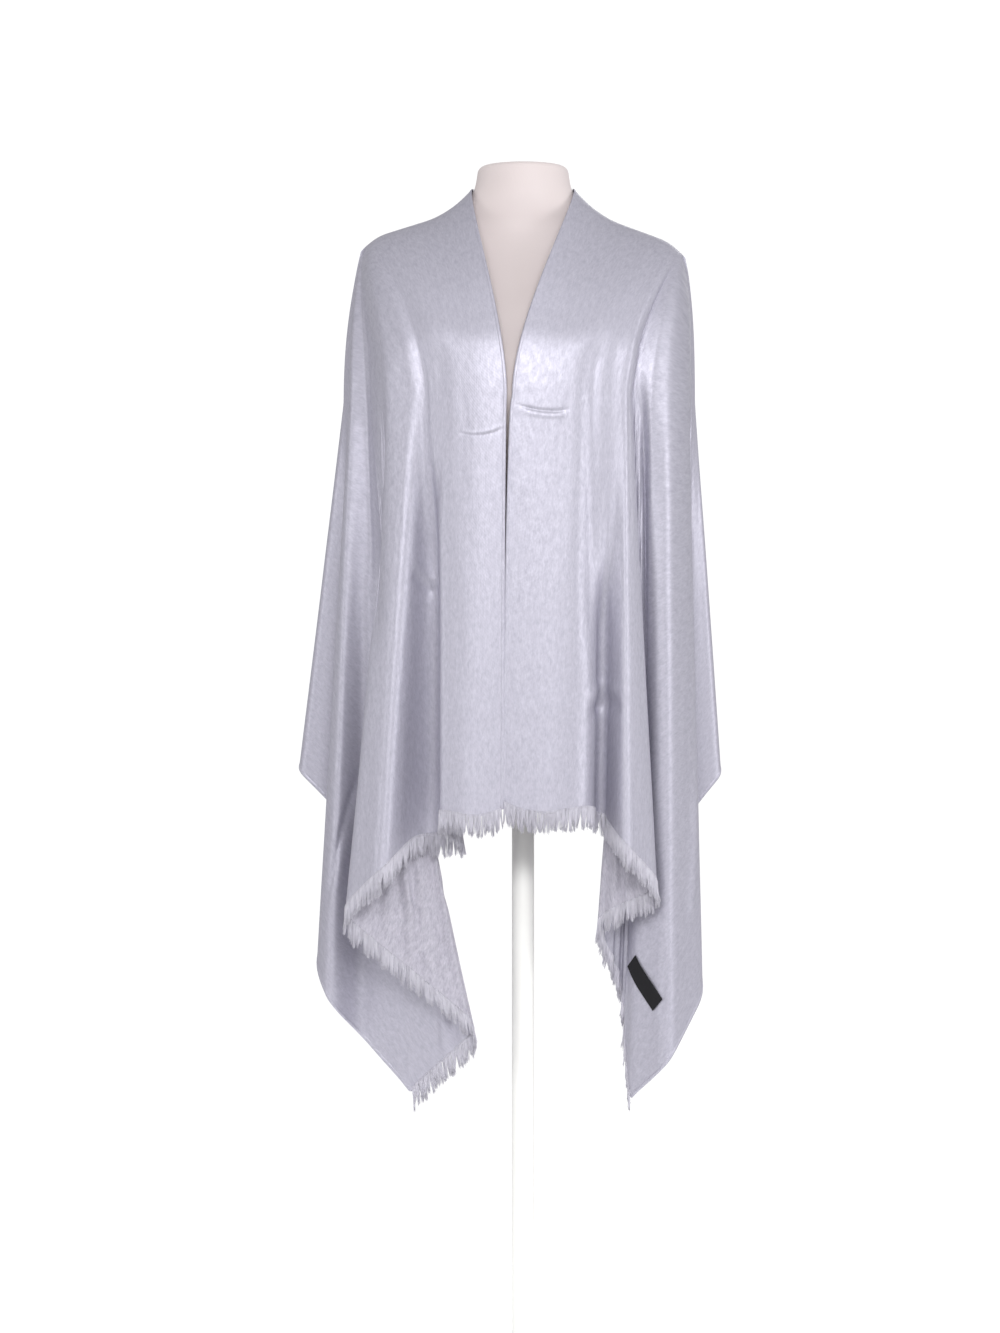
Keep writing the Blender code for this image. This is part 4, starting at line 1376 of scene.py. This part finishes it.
@dataclass
class Label:
    """The small bare woven label on the right tail. It bends about half as much as the cloth under it."""

    place: tuple[float, float] = (0.783, 0.630)
    turn: float = math.radians(104)
    width: float = 0.020
    length: float = 0.055
    wall: float = 0.6 * MILLIMETRE
    lift: float = 1.0 * MILLIMETRE
    pucker: float = 0.3 * MILLIMETRE
    slope_step: float = 4 * MILLIMETRE
    facing: float = 0.2
    stiffness: float = 0.55
    columns: int = 9
    rows: int = 25

    def build(self, drape: Drape, tape: bpy.types.Material) -> bpy.types.Object:
        """Lays the label on the cloth.

        Args:
            drape: the right half's worn surface.
            tape: the label's material.

        Returns:
            The piece.
        """
        aside = np.linspace(-0.5, 0.5, self.columns) * self.width
        ahead = np.linspace(-0.5, 0.5, self.rows) * self.length
        across, along = np.meshgrid(aside, ahead, indexing="ij")
        forth = np.array([math.cos(self.turn), math.sin(self.turn)])
        side = np.array([-math.sin(self.turn), math.cos(self.turn)])
        flats = np.array(self.place) + along[..., None] * forth + across[..., None] * side

        def worn(places: np.ndarray) -> np.ndarray:
            """Returns the worn places of a grid of flat ones."""
            edges, shares = drape.find(places.reshape(-1, 2))
            return drape.points(edges, shares[:, None])[:, 0].reshape(places.shape[:2] + (3,))

        under = worn(flats)
        step = np.array([self.slope_step, 0.0])
        down = worn(flats + step) - worn(flats - step)
        out = worn(flats + step[::-1]) - worn(flats - step[::-1])
        normal = unit(np.cross(down, out))
        face = unit(unit(normal.mean(axis=(0, 1))) + np.array([0.0, -self.facing, 0.0]))
        column, row = self.columns // 2, self.rows // 2
        run = under[column, -1] - under[column, 0]
        hang = unit(run - face * run.dot(face))
        level = np.cross(face, hang)
        level = level * np.sign(level.dot(under[-1, row] - under[0, row]))
        points = under[column, row] + along[..., None] * hang + across[..., None] * level
        points = mix(under, points, np.full_like(along, self.stiffness))
        sunk = min(((points - under) * normal).sum(axis=-1).min(), 0.0)
        pucker = self.pucker * np.sin(np.pi * (along / self.length + 0.5)) ** 2
        points = points + face * (self.lift - sunk + pucker)[..., None]
        places = np.stack([across, along], axis=-1)
        mesh = grid_mesh("woven_label", points, places)
        piece = add_piece("woven_label", mesh, [tape], ("label",))
        wall = piece.modifiers.new("Wall", "SOLIDIFY")
        wall.thickness = self.wall
        wall.offset = 0.0
        return piece


# The dress form and its stand


@dataclass
class DressForm:
    """The padded body without limbs, its neck and the board that closes it below."""

    sides: int = 96
    row_gap: float = 0.006
    neck_round: float = 0.007
    low_round: float = 0.005
    round_rows: int = 6
    top_rows: int = 7
    board_thickness: float = 0.012
    board_share: float = 0.94
    board_edge: float = 0.0015
    board_reach: float = 0.1  # about the distance from the board's middle to its edge
    seam_gap: float = 0.3 * MILLIMETRE

    # Height, half width, reach in front, reach behind, and the section's exponent: 2 for an ellipse
    RINGS = (
        (0.745, 0.126, 0.074, 0.082, 2.2), (0.800, 0.136, 0.080, 0.090, 2.2),
        (0.860, 0.134, 0.081, 0.090, 2.2), (0.930, 0.118, 0.078, 0.078, 2.2),
        (0.990, 0.110, 0.080, 0.072, 2.2), (1.050, 0.122, 0.096, 0.080, 2.2),
        (1.100, 0.136, 0.114, 0.090, 2.2), (1.140, 0.146, 0.122, 0.097, 2.2),
        (1.180, 0.150, 0.117, 0.101, 2.2), (1.230, 0.152, 0.096, 0.098, 2.1),
        (1.280, 0.160, 0.066, 0.080, 2.0), (1.304, 0.170, 0.052, 0.061, 1.8),
        (1.317, 0.157, 0.045, 0.053, 1.7), (1.328, 0.131, 0.043, 0.049, 1.6),
        (1.340, 0.100, 0.042, 0.047, 1.7), (1.351, 0.0805, 0.045, 0.049, 1.9),
        (1.366, 0.0625, 0.048, 0.052, 2.0), (1.382, 0.0540, 0.048, 0.052, 2.0),
        (1.396, 0.0515, 0.048, 0.051, 2.0), (1.406, 0.0505, 0.048, 0.051, 2.0),
    )

    @property
    def low(self) -> float:
        """Height of the padded body's lower edge."""
        return self.RINGS[0][0]

    @property
    def underside(self) -> float:
        """Height of the board's underside."""
        return self.low - self.seam_gap - self.board_thickness

    def ring(self, height: np.ndarray, inset: np.ndarray) -> np.ndarray:
        """Returns the level sections at some heights, each drawn in by an inset."""
        table = np.array(self.RINGS)
        columns = [np.interp(height, table[:, 0], table[:, index]) for index in range(1, 5)]
        half_width, front, back, power = columns
        angle = np.linspace(0.0, 2 * math.pi, self.sides + 1)[:, None]
        out = (half_width - inset) * signed_power(np.sin(angle), 2 / power)
        reach = np.where(np.cos(angle) > 0, front - inset, back - inset)
        depth = -reach * signed_power(np.cos(angle), 2 / power)
        level = np.broadcast_to(height, out.shape)
        return np.stack([out, depth, level], axis=-1).transpose(1, 0, 2)

    def build_torso(self, jersey: bpy.types.Material) -> bpy.types.Object:
        """Makes the padded body with its rounded neck and lower edge."""
        high = self.RINGS[-1][0]
        middle = np.arange(self.low + self.row_gap, high - self.neck_round, self.row_gap)
        turn = np.linspace(0.0, math.pi / 2, self.round_rows)
        low_turn = self.low + self.low_round * (1 - np.cos(turn))
        high_turn = high - self.neck_round * (1 - np.sin(turn))
        heights = np.concatenate([low_turn, middle, high_turn])
        low_inset = self.low_round * (1 - np.sin(turn))
        high_inset = self.neck_round * (1 - np.cos(turn))
        insets = np.concatenate([low_inset, np.zeros_like(middle), high_inset])
        points = self.ring(heights, insets)
        centre = points[-1].mean(axis=0)
        inward = np.linspace(0.0, 1.0, self.top_rows)[1:-1]
        top = [points[-1] + (centre - points[-1]) * share for share in inward]
        points = np.concatenate([points, np.array(top)])
        mesh = grid_mesh("padded_body", points, ring=True)
        return add_piece("padded_body", mesh, [jersey], ("form_torso",))

    def build_board(self, board: bpy.types.Material) -> bpy.types.Object:
        """Makes the board under the body, with its edges broken."""
        outline = self.ring(np.array([self.low]), np.zeros(1))[0]
        high = self.low - self.seam_gap
        low = self.underside
        edge = self.board_edge
        rows = ((low, edge), (low + edge, 0.0), (high - edge, 0.0), (high, edge))
        points = []
        for height, inset in rows:
            level = outline * self.board_share * (1 - inset / self.board_reach)
            level[:, 2] = height
            points.append(level)
        mesh = grid_mesh("closing_board", np.array(points), ring=True)
        return add_piece("closing_board", mesh, [board], ("form_board",))


@dataclass
class Stand:
    """The pole, its collar and the round weighted base."""

    top: float  # underside of what the pole carries
    pole_radius: float = 0.0125
    collar_radius: float = 0.024
    collar_height: float = 0.035
    base_radius: float = 0.165
    base_thickness: float = 0.010
    base_rise: float = 0.004
    edge: float = 0.002
    collar_edge: float = 0.006
    bevel: float = 0.0008
    bevel_angle: float = math.radians(35)
    gap: float = 0.3 * MILLIMETRE
    sides: int = 96

    def turned(self, name: str, profile: list[tuple[float, float]], paint: bpy.types.Material,
               replaced: str) -> bpy.types.Object:
        """Spins a profile of radius and height about the pole's axis.

        Args:
            name: the piece's name.
            profile: radius and height, from the bottom's middle to the top's.
            paint: its material.
            replaced: the CAD node it stands for.

        Returns:
            The piece.
        """
        shape = bmesh.new()
        points = [(0.0, profile[0][1])] + profile + [(0.0, profile[-1][1])]
        line = [shape.verts.new((radius, 0.0, height)) for radius, height in points]
        edges = [shape.edges.new(pair) for pair in zip(line, line[1:])]
        bmesh.ops.spin(shape, geom=line + edges, cent=(0, 0, 0), axis=(0, 0, 1), dvec=(0, 0, 0),
                       angle=2 * math.pi, steps=self.sides, use_merge=True, use_duplicate=False)
        bmesh.ops.remove_doubles(shape, verts=shape.verts, dist=MERGE_DISTANCE)
        bmesh.ops.recalc_face_normals(shape, faces=shape.faces)
        mesh = bpy.data.meshes.new(name)
        shape.to_mesh(mesh)
        shape.free()
        piece = add_piece(name, mesh, [paint], (replaced,))
        bevel = piece.modifiers.new("Softened edges", "BEVEL")
        bevel.width = self.bevel
        bevel.segments = 2
        bevel.limit_method = "ANGLE"
        bevel.angle_limit = self.bevel_angle
        return piece

    def build(self, paint: bpy.types.Material) -> None:
        """Builds the base, the collar and the pole."""
        base_top = self.base_thickness + self.base_rise
        self.turned("round_base", [
            (self.base_radius - self.edge, 0.0),
            (self.base_radius, self.edge),
            (self.base_radius, self.base_thickness - self.edge),
            (self.base_radius - self.edge, self.base_thickness),
            (self.collar_radius + self.edge, base_top),
        ], paint, "stand_base")
        low = base_top + self.gap
        high = low + self.collar_height
        self.turned("pole_collar", [
            (self.collar_radius, low),
            (self.collar_radius, high - self.collar_edge),
            (self.pole_radius + self.edge, high),
        ], paint, "stand_collar")
        self.turned("pole", [
            (self.pole_radius, high + self.gap),
            (self.pole_radius, self.top - self.gap),
        ], paint, "stand_pole")


# The studio


@dataclass(frozen=True)
class SoftBox:
    """One rectangular lamp: its power in watts, its width and height, its place and what it looks at."""

    name: str
    power: float
    size: tuple[float, float]
    place: tuple[float, float, float]
    target: tuple[float, float, float]


SOFT_BOXES = (
    SoftBox("front soft box", 96.0, (2.6, 0.7), (0.10, -3.9, 2.35), (0.0, 0.0, 1.05)),
    SoftBox("right soft box", 38.0, (1.2, 1.8), (3.2, -1.6, 1.30), (0.0, 0.0, 1.00)),
    SoftBox("left soft box", 17.0, (1.2, 1.8), (-3.2, -1.8, 1.10), (0.0, 0.0, 0.95)),
    SoftBox("back soft box", 17.0, (1.6, 1.2), (0.5, 3.2, 2.10), (0.0, 0.0, 1.05)),
)


@dataclass
class Studio:
    """Camera, lamps, floor and surrounding light."""

    distance: float = 3.6
    centre_out: float = -0.0259
    centre_height: float = 0.844
    frame_height: float = 1.5
    sensor: float = 24.0
    floor_radius: float = 0.9
    floor_sides: int = 96
    wall_light: float = 0.54
    ceiling_light: float = 0.49
    backdrop: float = 1.05

    def camera(self) -> None:
        """Sets a level camera in front of the form, framed as the photograph is."""
        data = bpy.data.cameras.new("camera")
        data.sensor_fit = "VERTICAL"
        data.sensor_height = self.sensor
        data.lens = self.sensor * self.distance / self.frame_height
        camera = bpy.data.objects.new("camera", data)
        camera.location = (self.centre_out, -self.distance, self.centre_height)
        camera.rotation_euler = Euler((math.pi / 2, 0.0, 0.0))
        bpy.context.scene.collection.objects.link(camera)
        bpy.context.scene.camera = camera

    def lamp(self, box: SoftBox) -> None:
        """Adds one soft box that looks at its target."""
        data = bpy.data.lights.new(box.name, "AREA")
        data.shape = "RECTANGLE"
        data.size, data.size_y = box.size
        data.energy = box.power
        item = bpy.data.objects.new(box.name, data)
        item.location = box.place
        item.rotation_euler = (Vector(box.target) - Vector(box.place)).to_track_quat("-Z", "Y").to_euler()
        bpy.context.scene.collection.objects.link(item)

    def surroundings(self) -> None:
        """Lights the room: a white backdrop, paler walls than ceiling."""
        world = bpy.data.worlds.new("studio")
        world.use_nodes = True
        tree = world.node_tree
        tree.nodes.clear()
        place = add_node(tree, "ShaderNodeTexCoord")
        split = add_node(tree, "ShaderNodeSeparateXYZ", sockets={"Vector": place.outputs["Generated"]})
        dim = add_node(tree, "ShaderNodeMapRange", {"interpolation_type": "SMOOTHSTEP"}, {
            "Value": split.outputs["Z"],
            "From Min": 0.0,
            "From Max": 0.8,
            "To Min": self.wall_light,
            "To Max": self.ceiling_light,
        })
        seen = add_node(tree, "ShaderNodeLightPath")
        strength = add_node(tree, "ShaderNodeMix", {"data_type": "FLOAT"}, {
            "Factor": seen.outputs["Is Camera Ray"],
            "A": dim.outputs["Result"],
            "B": self.backdrop,
        })
        background = add_node(tree, "ShaderNodeBackground", sockets={
            "Color": linear("#FFFFFF"),
            "Strength": strength.outputs["Result"],
        })
        add_node(tree, "ShaderNodeOutputWorld", sockets={"Surface": background.outputs["Background"]})
        bpy.context.scene.world = world

    def floor(self) -> None:
        """Lays a round of pale paper under the stand."""
        shape = bmesh.new()
        bmesh.ops.create_circle(shape, cap_ends=True, segments=self.floor_sides, radius=self.floor_radius)
        mesh = bpy.data.meshes.new("floor")
        shape.to_mesh(mesh)
        shape.free()
        item = bpy.data.objects.new("floor", mesh)
        mesh.materials.append(StudioPaper().material())
        bpy.context.scene.collection.objects.link(item)

    def build(self) -> None:
        """Sets up the whole studio."""
        self.camera()
        self.surroundings()
        self.floor()
        for box in SOFT_BOXES:
            self.lamp(box)
        bpy.context.scene.view_settings.view_transform = "Standard"


def torso_tree(piece: bpy.types.Object) -> BVHTree:
    """Returns a search tree of a finished piece's surface."""
    mesh = piece.data
    corners = [tuple(vertex.co) for vertex in mesh.vertices]
    faces = [tuple(polygon.vertices) for polygon in mesh.polygons]
    return BVHTree.FromPolygons(corners, faces)


def build_trims(stole: Stole, satin: list[bpy.types.Material]) -> dict[str, list[bpy.types.Object]]:
    """Adds the fringe and the hems of both front stretches.

    Args:
        stole: the cloth, already built.
        satin: the face's material and the reverse's.

    Returns:
        The trims of each half by its name.
    """
    yarn = FringeYarn().material()
    trims = {}
    for half in (LEFT, RIGHT):
        front = stole.fronts[half.name]
        outward = grid_normals(front, half.sign)
        count = int(np.searchsorted(stole.front_edges, stole.cut.width))
        roots, before = front[:count, -1], front[:count, -3]
        yarns = Fringe(half).build(roots, before, outward[:count, -1], stole.front_edges[:count], yarn)
        edge_hem = stole.hem(f"hem_front_{half.name}", front[0], outward[0], satin)
        side_hem = stole.hem(f"hem_side_{half.name}", front[count - 1:, -1], outward[count - 1:, -1], satin)
        trims[half.name] = [yarns, edge_hem, side_hem]
    return trims


def main() -> None:
    """Builds the studio, the dress form, its stand and the stole, in that order."""
    logging.basicConfig(level=logging.INFO, format="%(message)s")
    Studio().build()
    form = DressForm()
    body = form.build_torso(Jersey().material())
    form.build_board(PressedBoard().material())
    Stand(form.underside).build(PowderCoat().material())

    cut = Cut()
    stole = Stole(cut)
    satin = [SATIN_FACE.material(), SATIN_REVERSE.material()]
    cloth = stole.build(satin, torso_tree(body))
    trims = build_trims(stole, satin)
    label = Label().build(stole.drapes["right"], LabelTape().material())
    trims["right"].append(label)


if __name__ == "__main__":
    main()
